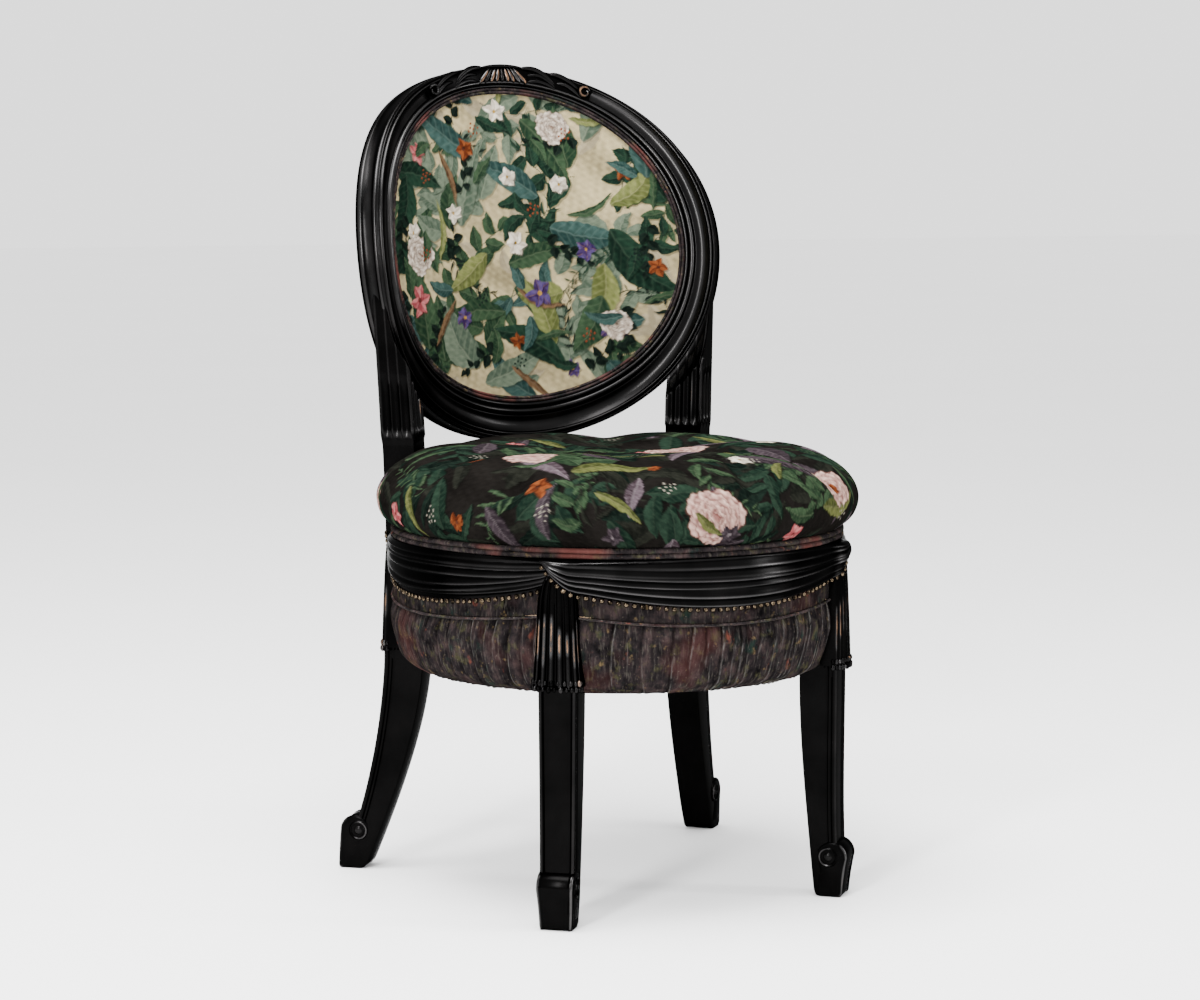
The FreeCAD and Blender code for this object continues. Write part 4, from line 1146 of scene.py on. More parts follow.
# %% Colours of leaves and flowers
pine = ((0.0030, 0.0075, 0.0050), (0.0090, 0.0230, 0.0135), (0.030, 0.050, 0.032))
moss = ((0.0060, 0.0150, 0.0080), (0.0240, 0.0440, 0.0220), (0.070, 0.090, 0.050))
sea = ((0.0070, 0.0180, 0.0160), (0.0260, 0.0520, 0.0450), (0.080, 0.115, 0.095))
sage = ((0.0300, 0.0440, 0.0300), (0.0850, 0.1050, 0.0720), (0.150, 0.165, 0.115))
lime = ((0.0400, 0.0480, 0.0140), (0.1150, 0.1250, 0.0420), (0.200, 0.190, 0.090))
ink = ((0.0016, 0.0030, 0.0024), (0.0050, 0.0095, 0.0070), (0.014, 0.020, 0.014))
bark = ((0.0300, 0.0160, 0.0080), (0.0900, 0.0520, 0.0260), (0.140, 0.095, 0.055))
straw = ((0.1500, 0.1250, 0.0780), (0.2300, 0.1950, 0.1250), (0.170, 0.140, 0.085))
violet = ((0.0130, 0.0060, 0.0300), (0.0520, 0.0360, 0.1050), (0.180, 0.100, 0.020))
flame = ((0.0480, 0.0110, 0.0045), (0.1500, 0.0420, 0.0130), (0.030, 0.010, 0.006))
coral = ((0.1500, 0.0280, 0.0320), (0.3200, 0.1100, 0.1050), (0.060, 0.014, 0.012))
cream = ((0.2600, 0.2250, 0.1750), (0.5000, 0.4600, 0.3800), (0.150, 0.090, 0.020))
dusk = ((0.0095, 0.0068, 0.0085), (0.0310, 0.0230, 0.0270), (0.110, 0.090, 0.095))


dim = ((0.0036, 0.0040, 0.0032), (0.0104, 0.0110, 0.0084), (0.0165, 0.0170, 0.0130))
fern = ((0.0030, 0.0072, 0.0050), (0.0110, 0.0220, 0.0140), (0.026, 0.038, 0.025))
glade = ((0.0060, 0.0130, 0.0070), (0.0240, 0.0420, 0.0210), (0.062, 0.080, 0.044))
reed = ((0.0200, 0.0240, 0.0070), (0.0780, 0.0850, 0.0270), (0.130, 0.125, 0.060))
lilac = ((0.0200, 0.0130, 0.0160), (0.0700, 0.0520, 0.0610), (0.200, 0.170, 0.180))
print("colours ready")

# %% [markdown]
# Each print is laid from the ground up: faint things first, then sprays and ferns, large leaves, flowers and
# berries. A kind of motif is strewn over an oval with a least gap between two of them. Sizes are in metres, and
# where two are given, each motif draws its own between them.

# %% Ivory print of the back and dark print of the seat
def ivory_print(flat):
    p = Print(flat, (0.240, 0.198, 0.108), 11)
    for spot in p.scatter(0.23, 0.20, 0.0062, 900):
        index = p.near(spot, 3 * mm)
        x, y = p.turned(index, spot, 0.0)
        p.lay(index, (0.9 * mm - np.hypot(x, y * 0.7)) / p.soft * 0.30, np.array((0.12, 0.075, 0.035)))
    p.strew_leaves((0.23, 0.20), 0.034, 46, (0.035, 0.065), (0.014, 0.028), (straw, straw, sage), 0.2)
    p.strew_sprays((0.22, 0.19), 0.052, 36, (0.05, 0.09), 5, (0.034, 0.054), (0.40, 0.60),
                   (pine, moss, sea, moss, sage))
    p.strew_sprays((0.21, 0.18), 0.085, 13, 0.075, 13, 0.020, 0.22, (pine, ink))
    p.strew_leaves((0.21, 0.18), 0.062, 23, (0.06, 0.095), (0.022, 0.038), (pine, sea, moss, lime, sage))
    p.strew_leaves((0.20, 0.17), 0.078, 16, (0.075, 0.115), (0.028, 0.046), (pine, moss, sea, sage))
    p.strew_sprays((0.20, 0.17), 0.080, 12, 0.055, 7, 0.017, 0.75, (ink,))
    p.strew_leaves((0.20, 0.17), 0.085, 11, (0.05, 0.08), 0.009, (lime, bark, moss))
    p.strew_flowers((0.185, 0.160), 0.064, 19, (0.011, 0.020), (0.30, 0.46),
                    (violet, cream, flame, cream, coral, cream, flame, violet))
    for spot, size in (((-0.150, -0.010), 0.024), ((0.060, 0.138), 0.021), ((0.120, -0.095), 0.019)):
        p.rosette(spot, size, (0.085, 0.046, 0.030), (0.56, 0.49, 0.40))
    p.strew_leaves((0.19, 0.16), 0.075, 16, (0.030, 0.050), (0.012, 0.022), (pine, moss, sea))
    for spot in p.scatter(0.19, 0.16, 0.090, 9):
        p.berries(spot, 0.009, 9, 1.7 * mm, p.rng.choice(((0.10, 0.022, 0.010), (0.004, 0.007, 0.006))))
    return p.colour


def dark_print(flat):
    p = Print(flat, (0.0050, 0.0044, 0.0039), 5)
    p.strew_leaves((0.34, 0.34), 0.030, 230, (0.05, 0.09), (0.012, 0.026), (dim, dim, ink), 0.2)
    p.strew_sprays((0.33, 0.33), 0.072, 52, (0.06, 0.10), 6, (0.036, 0.060), (0.30, 0.52),
                   (fern, glade, fern, dim, glade))
    p.strew_sprays((0.33, 0.33), 0.100, 30, 0.085, 13, 0.026, 0.20, (fern, glade, dim))
    p.strew_leaves((0.33, 0.33), 0.072, 54, (0.06, 0.11), (0.016, 0.032),
                   (dusk, reed, glade, lilac, fern, lilac))
    for spot in p.scatter(0.32, 0.32, 0.190, 9):
        p.rosette(spot, p.drawn((0.028, 0.038)), (0.120, 0.040, 0.036), (0.50, 0.34, 0.28))
    p.strew_flowers((0.33, 0.33), 0.105, 28, (0.009, 0.018), (0.30, 0.44), (flame, cream, coral, dusk))
    p.strew_leaves((0.33, 0.33), 0.090, 36, (0.04, 0.07), (0.008, 0.016), (reed, glade, fern))
    for spot in p.scatter(0.32, 0.32, 0.120, 18):
        p.berries(spot, 0.010, 10, 1.5 * mm, (0.17, 0.155, 0.125))
    return p.colour


print("two prints ready")

# %% [markdown]
# Velvet has a short pile: its colour clouds a little where the pile leans, it has no gloss, and its surface is
# a fine even grain. The cloth of the belly, the bands and the welts has specks so small that they come from
# noise in the shader instead of painting: blots of several colours, upright strokes and a few warm patches.

# %% Velvet finishes
def velvet_finish(name):
    f = Finish(name)
    where = f.place()
    paint = f.stored("print", "Color")
    lean = f.noise(where, 26.0, 4.0, 0.6)
    grain = f.noise(where, 1500.0, 2.0)
    deep = f.blend(1.0, paint, f.ramp(lean, (0.25, (0.78, 0.78, 0.78)), (0.75, (1.0, 1.0, 1.0))), "MULTIPLY")
    deep = f.blend(1.0, deep, f.ramp(grain, (0.30, (0.80, 0.80, 0.80)), (0.65, (1.0, 1.0, 1.0))), "MULTIPLY")
    return f.close(Base_Color=deep, Roughness=lean * 0.12 + 0.74, Specular_IOR_Level=0.0,
                   Normal=f.bump(grain * 0.6 + lean * 0.5, 0.25, 0.6 * mm))


def specked_finish(name, shade, warmth):
    f = Finish(name)
    where = f.place("cloth")
    stops = ((0.34, (0.0022, 0.0020, 0.0022)), (0.50, (0.0090, 0.0074, 0.0078)),
             (0.68, (0.0260, 0.0180, 0.0175)))
    ground = [(place, shaded(shade, colour)) for place, colour in stops]
    tint = f.ramp(f.noise(where, 60.0, 6.0, 0.65), *ground)
    blots = [(74.0, 0.56, 9.0, (0.0250, 0.0240, 0.0125)), (44.0, 0.58, 8.0, (0.0060, 0.0120, 0.0100)),
             (100.0, 0.62, 10.0, (0.0720, 0.0500, 0.0240)), (34.0, 0.64, 12.0, (0.0850, 0.0240, 0.0160)),
             (330.0, 0.64, 10.0, (0.0750, 0.0620, 0.0520))]
    for number, (scale, level, edge, colour) in enumerate(blots):
        start = (3.1 * number + 1.0, 1.7 * number, 0.0)
        moved = f.node("ShaderNodeMapping", {}, {"Vector": where, "Location": start})
        blot = ((f.noise(moved, scale, 4.0, 0.6) - level) * edge).clamped()
        tint = f.blend(blot * 0.85, tint, shaded(shade, colour))
    stroke = f.noise(f.stretched(where, (1.0, 0.22, 1.0)), 380.0, 3.0, 0.6)
    tint = f.blend(((stroke - 0.55) * 7.0).clamped() * 0.50, tint, shaded(shade, (0.046, 0.041, 0.035)))
    tint = f.blend(((0.46 - stroke) * 7.0).clamped() * 0.55, tint, shaded(shade, (0.0030, 0.0030, 0.0032)))
    warm = ((f.noise(where, 13.0, 3.0, 0.5) - 0.53) * 8.0).clamped() * warmth
    tint = f.blend(warm, tint, shaded(shade, (0.060, 0.020, 0.017)))
    painted_nap_light = f.stored("rub")
    grain = f.noise(where, 1400.0, 2.0)
    broken = ((f.noise(where, 130.0, 4.0, 0.6) - 0.38) * 5.0).clamped()
    # on the gathers the stored value paints shade into the creases where it is below zero and a pale highlight
    # on the nap where it is above
    tint = f.blend(1.0, tint, (painted_nap_light + 1.0).clamped(), "MULTIPLY")
    tint = f.blend((painted_nap_light * broken * 0.72).clamped(), tint, (0.088, 0.086, 0.080))
    return f.close(Base_Color=tint, Roughness=grain * 0.1 + 0.74, Specular_IOR_Level=0.0,
                   Normal=f.bump(grain, 0.25, 0.5 * mm))


ivory_velvet, dark_velvet = velvet_finish("ivory_printed_velvet"), velvet_finish("dark_printed_velvet")
belly_velvet = specked_finish("gathered_velvet", 1.0, 0.25)
band_velvet = specked_finish("band_velvet", 0.75, 0.15)
welt_velvet = specked_finish("welt_velvet", 1.25, 0.75)
piping_velvet = specked_finish("piping_velvet", 1.5, 0.1)
print("velvets ready")

# %% [markdown]
# Padded cloth bulges where nothing holds it and stays where it is sewn or tacked. Blender's cloth does this
# well: the pad starts a little slack, its sewn points are pinned, air pressure fills it, and the result is
# capped so that it can't grow out of the chair. The pad is a disc of squares, which has no crowded pole.

# %% Discs of squares filled by cloth
def disc_squares(count):
    """Even squares bent into a disc: radius from 0 to 1 and direction, as (count, count) grids."""
    a, b = np.meshgrid(np.linspace(-1, 1, count), np.linspace(-1, 1, count), indexing="ij")
    wide = np.abs(a) > np.abs(b)
    radius = np.where(wide, a, b)
    slope = np.divide(np.where(wide, b, a), radius, out=np.zeros_like(a), where=radius != 0)
    turn = np.where(wide, math.pi / 4 * slope, math.pi / 2 - math.pi / 4 * slope)
    return np.abs(radius), np.where(radius < 0, turn + math.pi, turn)


def points_of(mesh):
    flat = np.zeros(len(mesh.vertices) * 3)
    mesh.vertices.foreach_get("co", flat)
    return flat.reshape(-1, 3)


def puffed(mesh, pins, cap, pressure=4.0, frames=20):
    """Where the points of a pinned mesh go when pressure fills it, each at most by cap."""
    rest = points_of(mesh)
    body = placed("pad_in_work", mesh.copy())
    group = body.vertex_groups.new(name="sewn")
    for weight in np.unique(pins[pins > 0]):
        group.add(np.nonzero(pins == weight)[0].tolist(), float(weight), "REPLACE")
    cloth = body.modifiers.new("cloth", "CLOTH")
    cloth.settings.vertex_group_mass = "sewn"
    cloth.settings.use_pressure = True
    cloth.settings.uniform_pressure_force = pressure
    cloth.settings.tension_stiffness = cloth.settings.compression_stiffness = 18
    cloth.settings.bending_stiffness = 0.6
    cloth.settings.effector_weights.gravity = 0
    cloth.settings.quality = 5
    cloth.point_cache.frame_end = frames
    scene = bpy.context.scene
    for step in range(1, frames + 1):
        scene.frame_set(step)
    travel = points_of(body.evaluated_get(bpy.context.evaluated_depsgraph_get()).to_mesh()) - rest
    far = np.linalg.norm(travel, axis=1, keepdims=True)
    travel *= np.minimum(1, cap / np.maximum(far, 1e-9))
    bpy.data.objects.remove(body)
    scene.frame_set(1)
    print("cloth moved", round(float(far.max()) / mm, 1), "mm at most, mean", round(float(far.mean()) / mm, 2))
    return rest + travel


print("discs and cloth ready")

# %% [markdown]
# The cloth works on a coarse grid. The face is then divided finely, on smooth curves through the coarse points,
# so that the print has enough points to be painted on. A coarse back closes the pad.

# %% Divided and painted pads
def finer(grid, steps):
    """A grid with steps new points for every old one, on smooth curves through the old points."""
    for axis in (0, 1):
        lines = np.moveaxis(grid, axis, 0)
        lines = np.concatenate([2 * lines[:1] - lines[1:2], lines, 2 * lines[-1:] - lines[-2:-1]])
        a, b, c, d = lines[:-3], lines[1:-2], lines[2:-1], lines[3:]
        between = [curve(a, b, c, d, t) for t in np.arange(steps) / steps]
        filled = np.stack(between, axis=1).reshape(-1, *b.shape[1:])
        grid = np.moveaxis(np.concatenate([filled, c[-1:]]), 0, axis)
    return grid


def rim(index):
    """The outermost points of a grid, in order round it and back to the first."""
    ends = [index[0, :-1], index[:-1, -1], index[-1, :0:-1], index[:0:-1, 0], index[0, :1]]
    return np.concatenate(ends)


def painted(mesh, print_colours):
    """Stores a print on the first points of a mesh and leaves the rest white."""
    colour = np.ones((len(mesh.vertices), 4))
    colour[:len(print_colours), :3] = print_colours
    mesh.attributes.new("print", "FLOAT_COLOR", "POINT").data.foreach_set("color", colour.reshape(-1))
    return mesh


def pad_mesh(name, grid, flat, behind, pins, cap, painter, steps=4):
    """A disc-shaped pad: a face filled by cloth, divided, painted and closed by a coarse back."""
    coarse = Carving().add(grid).mesh(name + "_coarse", 180)
    face = finer(puffed(coarse, pins.reshape(-1), cap).reshape(grid.shape), steps)
    pad = Carving().add(face)
    back_first = pad.count
    pad.add(behind)
    fine = rim(np.arange(back_first).reshape(face.shape[:2]))
    wide = rim(np.arange(back_first, pad.count).reshape(behind.shape[:2]))
    each = (len(fine) - 1) // (len(wide) - 1)
    for k in range(len(wide) - 1):
        pad.faces.append(wide[k:k + 2].tolist() + fine[k * each:(k + 1) * each + 1][::-1].tolist())
    return painted(pad.mesh(name, 60), painter(finer(flat, steps).reshape(-1, 2)))


print("pad tools ready")

# %% [markdown]
# The back pad fills the ring with an even crown and curves with it. Its cloth is tacked all round under the
# welt, so its rim is pinned.

# %% Back pad
radius, turn = disc_squares(81)
u, v = (pad_half_w - 1 * mm) * radius * np.cos(turn), (pad_half_h - 1 * mm) * radius * np.sin(turn)
dome = 1 - radius ** 2
pad_front = back_point(u, v, 11.5 * mm * dome - 3.5 * mm)
pad_rear = back_point(u, v, 9.0 * mm * dome - 12 * mm)[::4, ::4]
pins = np.where(radius > 0.955, 1.0, 0.0)
pad = pad_mesh("back_pad_velvet", pad_front, np.stack([u, v], axis=-1), pad_rear, pins, 4 * mm, ivory_print)
back_pad = finished("back_pad_velvet", pad, ivory_velvet, "back_fabric", "back_pad")

# %% [markdown]
# The seat is a full round cushion, drawn in at its waist above the welt. Twelve tufts near the rim and one in
# the middle let it in softly, with a short crease at each tuft and a few long ones towards the middle. Its
# profile is a line from the crown to the waist, and the print follows the length of that line, as cloth does.
# Radii and levels of the cushion are in millimetres.

# %% Profile, tufts and creases of the seat
seat_profile = [(0, 490), (70, 491.5), (140, 494), (195, 492), (233, 482), (258, 464), (270, 440), (264, 418),
                (247.5, 405)]
profile, profile_length = smooth_line(seat_profile, 400)
radius, turn = disc_squares(97)
gone = radius * profile_length
seat_r, seat_z = [np.interp(gone, np.linspace(0, profile_length, 400), profile[:, k]) for k in (0, 1)]
heading = np.degrees(turn)
tufts = [(360 / count * k + 6, ring_r) for ring_r, count in ((243, 12), (0, 1)) for k in range(count)]
tuft_wide, tuft_deep, tuft_pull, waist_level = 17, 8.0, 4.0, 452
pins = np.where(radius > 0.985, 1.0, 0.0)
for tuft_heading, tuft_r in tufts:
    a = math.radians(tuft_heading)
    away = np.hypot(seat_r * np.sin(turn) - tuft_r * math.sin(a), seat_r * np.cos(turn) - tuft_r * math.cos(a))
    away = np.where(seat_z > waist_level, away, 999)
    across, along = seat_r * np.sin(turn - a), seat_r * np.cos(turn - a)
    short = np.exp(-(across / 9) ** 2) * np.exp(-((along - tuft_r) / 60) ** 2) * (tuft_r > 0)
    ends = np.clip(along / 60, 0, 1) * np.clip((tuft_r + 20 - along) / 60, 0, 1)
    long = np.exp(-(across / 36) ** 2) * ends * (round(tuft_heading) % 60 == 36)
    crease, hollow = short + 2.3 * long, np.exp(-(away / tuft_wide) ** 2)
    seat_z = seat_z - tuft_deep * hollow - 2.4 * crease
    seat_r = seat_r - (tuft_pull * hollow + 2.0 * crease) * (tuft_r > 0)
    pins = np.maximum(pins, np.where(away < 5.5, 1.0, np.where(crease > 2.1, 0.5, 0.0)))
print("seat crown", round(float(seat_z.max()), 1), "mm, with", len(tufts), "tufts")

# %% [markdown]
# Beside the back posts the cushion is cut back, because the posts pass through its rim.

# %% Seat cushion
post_face = 226.0
for way in (-1, 1):
    off = np.radians(heading - way * rear_angle)
    across, deep = seat_r * np.sin(off), seat_r * np.cos(off)
    held = np.clip((44 - np.abs(across)) / 16, 0, 1) * (deep > 0)
    seat_r = seat_r + np.where(deep > post_face, post_face - deep, 0) * eased(held)
seat_grid = on_seat(heading, seat_r * mm, seat_z * mm)
seat_flat = np.stack([gone * np.sin(turn), -gone * np.cos(turn)], axis=-1) * mm
under_r = radius * np.where(radius > 0.999, seat_r, 246.0)
seat_under = on_seat(heading, under_r * mm, 394.5 * mm)[::4, ::4]
cushion = pad_mesh("seat_cushion", seat_grid, seat_flat, seat_under, pins, 5 * mm, dark_print)
seat = finished("seat_cushion", cushion, dark_velvet, "seat_fabric", "seat_cover", "seat_stuffing")

# %% [markdown]
# A double welt, two thin covered cords side by side, hides the tacks at the seat's foot and round the back.
# Its section is two lobes, swept round a ring, with a little irregularity from the sewing. The cloth layer
# carries the length along the welt, so its specks keep their size.

# %% Double welts
welt_radius = 249 * mm


def with_cloth(mesh, rows, columns, length, breadth, start=0.0):
    """Gives a swept mesh a flat cloth layer in metres from its grid of points and a start along the cloth."""
    layer = mesh.uv_layers.new(name="cloth")
    corner = np.zeros(len(mesh.loops), int)
    mesh.loops.foreach_get("vertex_index", corner)
    grid = corner % (rows * columns)
    flat = np.stack([start + grid // columns * (length / rows), grid % columns * (breadth / columns)], axis=-1)
    layer.data.foreach_set("uv", flat.reshape(-1))
    return mesh


def lobes(breadth, height):
    """The section of a double welt."""
    a = np.linspace(0, math.pi, 9)
    half = breadth / 4
    first = [(-half - half * math.cos(t), height * math.sin(t) ** 0.8) for t in a]
    second = [(half - half * math.cos(t), height * math.sin(t) ** 0.8) for t in a]
    return np.array(first + second[1:] + [(breadth / 2, -1.5 * mm), (-breadth / 2, -1.5 * mm)])


def seat_welt():
    section = lobes(11.5 * mm, 4.8 * mm)
    angle = np.linspace(0, 360, 720, endpoint=False)[:, None]
    wobble = 1 + 0.05 * np.sin(np.radians(angle) * 173) + 0.04 * np.sin(np.radians(angle) * 61)
    radius = welt_radius + section[None, :, 1] * wobble
    for way in (-1, 1):
        off = np.radians(angle - way * rear_angle)
        held = np.clip((27 * mm - np.abs(welt_radius * np.sin(off))) / (4 * mm), 0, 1)
        radius = radius - 26 * mm * held * (np.cos(off) > 0)
    grid = on_seat(angle, radius, 399.6 * mm + section[None, :, 0])
    mesh = Carving().hoop(grid).mesh("seat_welt", 60)
    return with_cloth(mesh, 720, len(section), 1.6, 20 * mm)


def back_welt(name, middle, breadth, height, face, way):
    section = lobes(breadth, height)
    turn = np.linspace(0, 2 * math.pi, 640, endpoint=False)[:, None]
    wobble = 1 + 0.06 * np.sin(turn * 141) + 0.04 * np.sin(turn * 53)
    grid = round_back(turn, middle + section[None, :, 0] + 0 * turn, face + way * section[None, :, 1] * wobble)
    mesh = Carving().hoop(grid).mesh(name, 60)
    return with_cloth(mesh, 640, len(section), 1.24, 20 * mm)


finished("seat_welt", seat_welt(), welt_velvet, "braid", "seat_braid")
front_welt = back_welt("back_welt_front", -3.9 * mm, 7.2 * mm, 3.8 * mm, -2.2 * mm, 1)
finished("back_welt_front", front_welt, welt_velvet, "braid", "back_braid_front")
rear_welt = back_welt("back_welt_rear", 0.0, 11 * mm, 2.4 * mm, -30 * mm, -1)
finished("back_welt_rear", rear_welt, welt_velvet, "braid", "back_braid_rear")

# %% [markdown]
# Below the swags the seat has a soft belly: a flat band, a line of piping and a gathered puff that turns in
# under the rail. A seamstress draws up the cloth at uneven steps, so every gather has its own place, slant,
# length and depth. Each one is a sharp crease between two soft rolls, with a thin pale line painted beside the
# crease as a highlight on the nap, and painted shade in the crease and down one side.

# %% Gathers of the belly
def gathers(ends, angle, down, seed):
    """Height in millimetres of the gathers of one span, and a painted highlight on the nap beside each crease,
    less painted shade in the crease and down one side.
    """
    rng = random.Random(seed)
    rise, painted_nap_highlight, dark = [0 * angle * down for layer in range(3)]
    place = ends[0] + 4.0
    while place < ends[1] - 4.0:
        slant, length = rng.uniform(-1.0, 1.0), rng.choice((0.6, 0.85, 1.6, 1.6))
        strong, bow = rng.uniform(0.4, 1.0), rng.uniform(0.3, 1.5) * np.sin(math.pi * down)
        begin = rng.choice((-0.3, -0.3, 0.12, 0.3))
        off = np.radians(angle - place - slant * down ** 0.8 + bow) * skin_radius
        hold = strong * np.clip((length - down) * 5, 0, 1) * (0.40 + 0.60 * np.abs(2 * down - 1) ** 1.4)
        rise = rise + hold * (1.5 * np.exp(-((off - 4.5) / 3.6) ** 2) + 1.1 * np.exp(-((off + 4.5) / 3.6) ** 2)
                              - 2.4 * np.exp(-(off / 1.4) ** 2))
        begun = np.clip((down - begin) * 5, 0, 1)
        painted_nap_highlight = np.maximum(painted_nap_highlight, hold * begun * np.exp(-((off - 1.9) / 0.6) ** 2) * 1.5)
        # painted shade in the crease and down one side of it
        dark = np.maximum(dark, hold * (np.exp(-(off / 1.5) ** 2) + 0.45 * np.exp(-((off + 3.5) / 3.0) ** 2)))
        place += rng.uniform(1.4, 2.2) if rng.random() < 0.35 else rng.uniform(2.6, 5.0)
    return rise, np.clip(painted_nap_highlight, 0, 1) - 0.75 * np.clip(dark, 0, 1) * (painted_nap_highlight < 0.25)


print("gathers ready")

# %% [markdown]
# The band is cut to the swag above it, so it takes its upper edge from there. The piping follows its lower edge,
# and the puff hangs from the piping. The band and the puff of each side start elsewhere along the cloth, so that
# their blots of colour don't repeat from one side of the chair to the next; the piping's do.

# %% Bands, piping and gathered belly
steps, puff_rows = 420, 40
pipe_radius, pipe_turn = 1.5 * mm, np.linspace(0, 2 * math.pi, 10, endpoint=False)[None, :]


def band_mesh(span, angle, high, low):
    level = np.concatenate([high, (high + low) / 2, low, low, high], axis=1)
    radius = np.array([[251.3, 251.7, 251.3, 249.0, 249.0]]) * mm
    return Carving().tube(on_seat(angle, radius, level)).mesh("belly_band_" + span, 60)


def puff_mesh(span, angle, top, seed):
    """A gathered puff from its top edge down and in under the rail, closed behind."""
    down = np.linspace(0, 1, puff_rows)
    rows = []
    for edge in (top.min() / mm, top.max() / mm):
        puff_line = [(249.5, edge), (252.6, edge * 0.5 + 149), (253.2, 298), (242.5, 262), (221, 247.5)]
        rows.append(smooth_line(puff_line, puff_rows)[0])
    part = (top - top.min()) / (top.max() - top.min())
    line = rows[0][None] + (rows[1] - rows[0])[None] * part[..., None]
    rise, painted_nap_highlight = gathers(spans[span], angle, down[None, :], seed)
    radius = (line[..., 0] + rise * np.clip(down * 12, 0.25, 1)[None, :]) * mm
    level = (line[..., 1] - rise * 0.4 * np.clip((down - 0.75) / 0.2, 0, 1)[None, :]) * mm
    back = on_seat(angle, np.array([[217.5, 217.5, 248.5]]) * mm, np.array([[247.5, 331.0, 331.0]]) * mm)
    grid = np.concatenate([on_seat(angle, radius, level), back], axis=1)
    # the painted nap highlight and shade of the gathers, with none on the closed back
    painted_nap_light = np.hstack([painted_nap_highlight, np.zeros((steps, 3))])
    return Carving().tube(grid, painted_nap_light).mesh("belly_puff_" + span, 70)


pipes = Carving()
for number, (span, ends) in enumerate(spans.items()):
    angle, share = np.linspace(*ends, steps)[:, None], np.linspace(-1, 1, steps)[:, None]
    length = math.radians(ends[1] - ends[0]) * skin_radius * mm
    high = hang(span, *[np.radians(off) * skin_radius for off in (angle - ends[0], ends[1] - angle)]) + 3 * mm
    low = rail_top - (68 - 13 * share ** 2) * mm
    band = with_cloth(band_mesh(span, angle, high, low), steps, 5, length, 40 * mm, 7.3 + number)
    finished("flat_band_" + span, band, band_velvet, "belly_fabric", "belly_band_" + span)
    pipe_level = low - 2.2 * mm + pipe_radius * np.sin(pipe_turn)
    pipes.tube(on_seat(angle, 252.4 * mm + pipe_radius * np.cos(pipe_turn), pipe_level))
    puff = puff_mesh(span, angle, low - 3.8 * mm, number + 3)
    puff = with_cloth(puff, steps, puff_rows + 3, length, 75 * mm, 0.5 + number)
    piece = finished("belly_puff_" + span, puff, belly_velvet, "belly_fabric", "belly_pad_" + span)
pipe_mesh = with_cloth(pipes.mesh("belly_piping_cord", 60), steps, 10, 0.4, 18 * mm)
finished("belly_piping_cord", pipe_mesh, piping_velvet, "braid", "belly_piping")

# %% [markdown]
# Behind, a stretched cloth closes the back, and under the seat a black dust cloth hides the webbing. Both are
# thin sheets, tacked along their rims.

# %% Outside back and dust cloth
def thin_sheet(name, grid):
    layer = placed(name + "_in_work", Carving().add(grid).mesh(name, 180))
    wall = layer.modifiers.new("wall", "SOLIDIFY")
    wall.thickness, wall.offset = 1.2 * mm, 0.0
    made = bpy.data.meshes.new_from_object(layer.evaluated_get(bpy.context.evaluated_depsgraph_get()))
    bpy.data.objects.remove(layer)
    return made


radius, turn = disc_squares(161)
u, v = (pad_half_w - 0.5 * mm) * radius * np.cos(turn), (pad_half_h - 0.5 * mm) * radius * np.sin(turn)
panel = thin_sheet("outside_back", back_point(u, v, -29.0 * mm - 0.8 * mm * (1 - radius ** 2)))
spots = points_of(panel)
painted(panel, dark_print(np.stack([-spots[:, 0], spots[:, 2] - back_z], axis=-1)))
outside = finished("outside_back", panel, dark_velvet, "rear_fabric", "outside_back_panel")

radius, turn = disc_squares(61)
dust = on_seat(np.degrees(turn), 216.8 * mm * radius, 247.6 * mm - 3 * mm * np.cos(radius * math.pi / 2))
cover = finished("dust_cloth", thin_sheet("dust_cloth", dust), cambric, "black_cambric", "dust_cover")

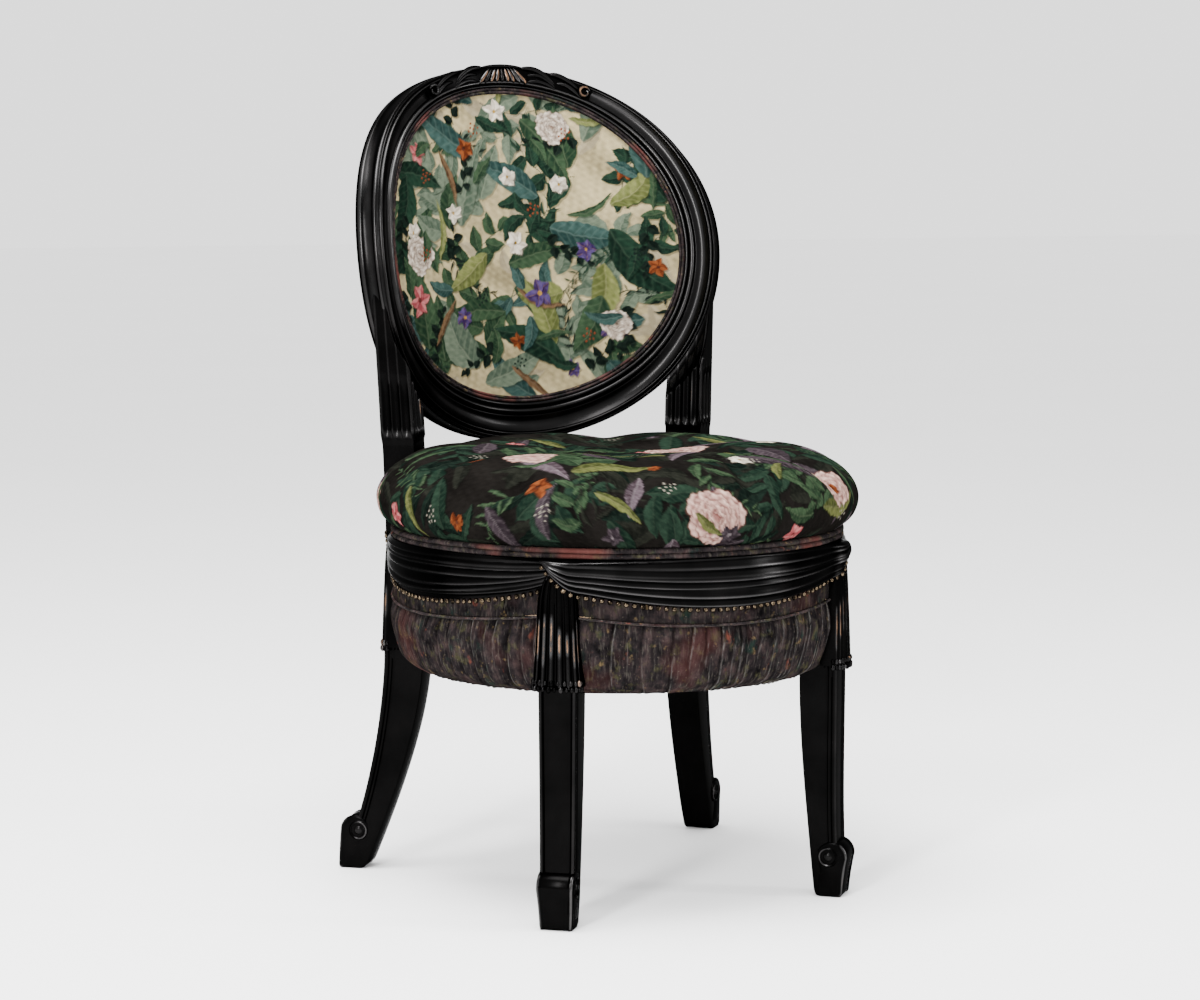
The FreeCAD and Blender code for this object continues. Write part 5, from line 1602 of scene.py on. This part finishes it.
# %% [markdown]
# The photograph is a studio shot on white with large soft lights. A broad light hangs in front to the left, a
# second one fills from the right, and a third above gives the long highlights on the mouldings.

# %% Floor and lights
def studio_floor():
    f = Finish("studio_floor")
    cloud = f.noise(f.place(), 1.2, 2.0)
    return f.close(Base_Color=f.ramp(cloud, (0.3, (0.94, 0.94, 0.94)), (0.7, (0.96, 0.96, 0.96))),
                   Roughness=cloud * 0.05 + 0.6)


def soft_light(name, place, target, size, power):
    lamp = bpy.data.lights.new(name, "AREA")
    lamp.shape, lamp.size, lamp.size_y, lamp.energy = "RECTANGLE", size[0], size[1], power
    body = placed(name, lamp)
    x, y, z = np.array(target) - np.array(place)
    body.location = place
    body.rotation_euler = (math.atan2(math.hypot(x, y), -z), 0, math.atan2(y, x) - math.pi / 2)
    return body


x, y = np.meshgrid(np.linspace(-30, 30, 13), np.linspace(-30, 30, 13), indexing="ij")
boards = Carving().add(np.stack([x, y, 0 * x - 0.2 * mm], axis=-1))
floor = placed("floor", boards.mesh("floor", 180))
floor.data.materials.append(studio_floor())
soft_light("window_left", (-2.6, -2.0, 1.9), (0, 0, 0.5), (0.4, 1.9), 170)
soft_light("fill_right", (2.6, -2.2, 1.4), (0, 0, 0.5), (0.3, 1.8), 70)
soft_light("overhead", (-0.6, -0.3, 3.2), (0, 0, 0.4), (1.8, 1.8), 290)
world = bpy.data.worlds.new("studio")
world.use_nodes = True
world.node_tree.nodes["Background"].inputs[0].default_value = (1, 1, 1, 1)
world.node_tree.nodes["Background"].inputs[1].default_value = 2.0
bpy.context.scene.world = world
print("floor and lights ready")

# %% [markdown]
# The camera stands where the photograph was taken from. Its place, tilt and lens were fitted to where the feet,
# the seat and the ring of the back lie in the picture.

# %% Camera
eye = bpy.data.cameras.new("photo_view")
eye.sensor_width, eye.lens, eye.clip_end = 36.0, 96.11, 100.0
camera = placed("photo_view", eye)
camera.location = (-1.7234, -3.1322 + seat_y, 0.7956)
camera.rotation_euler = (math.radians(84.18), 0.0, math.radians(-28.51))
bpy.context.scene.camera = camera
print("camera ready")
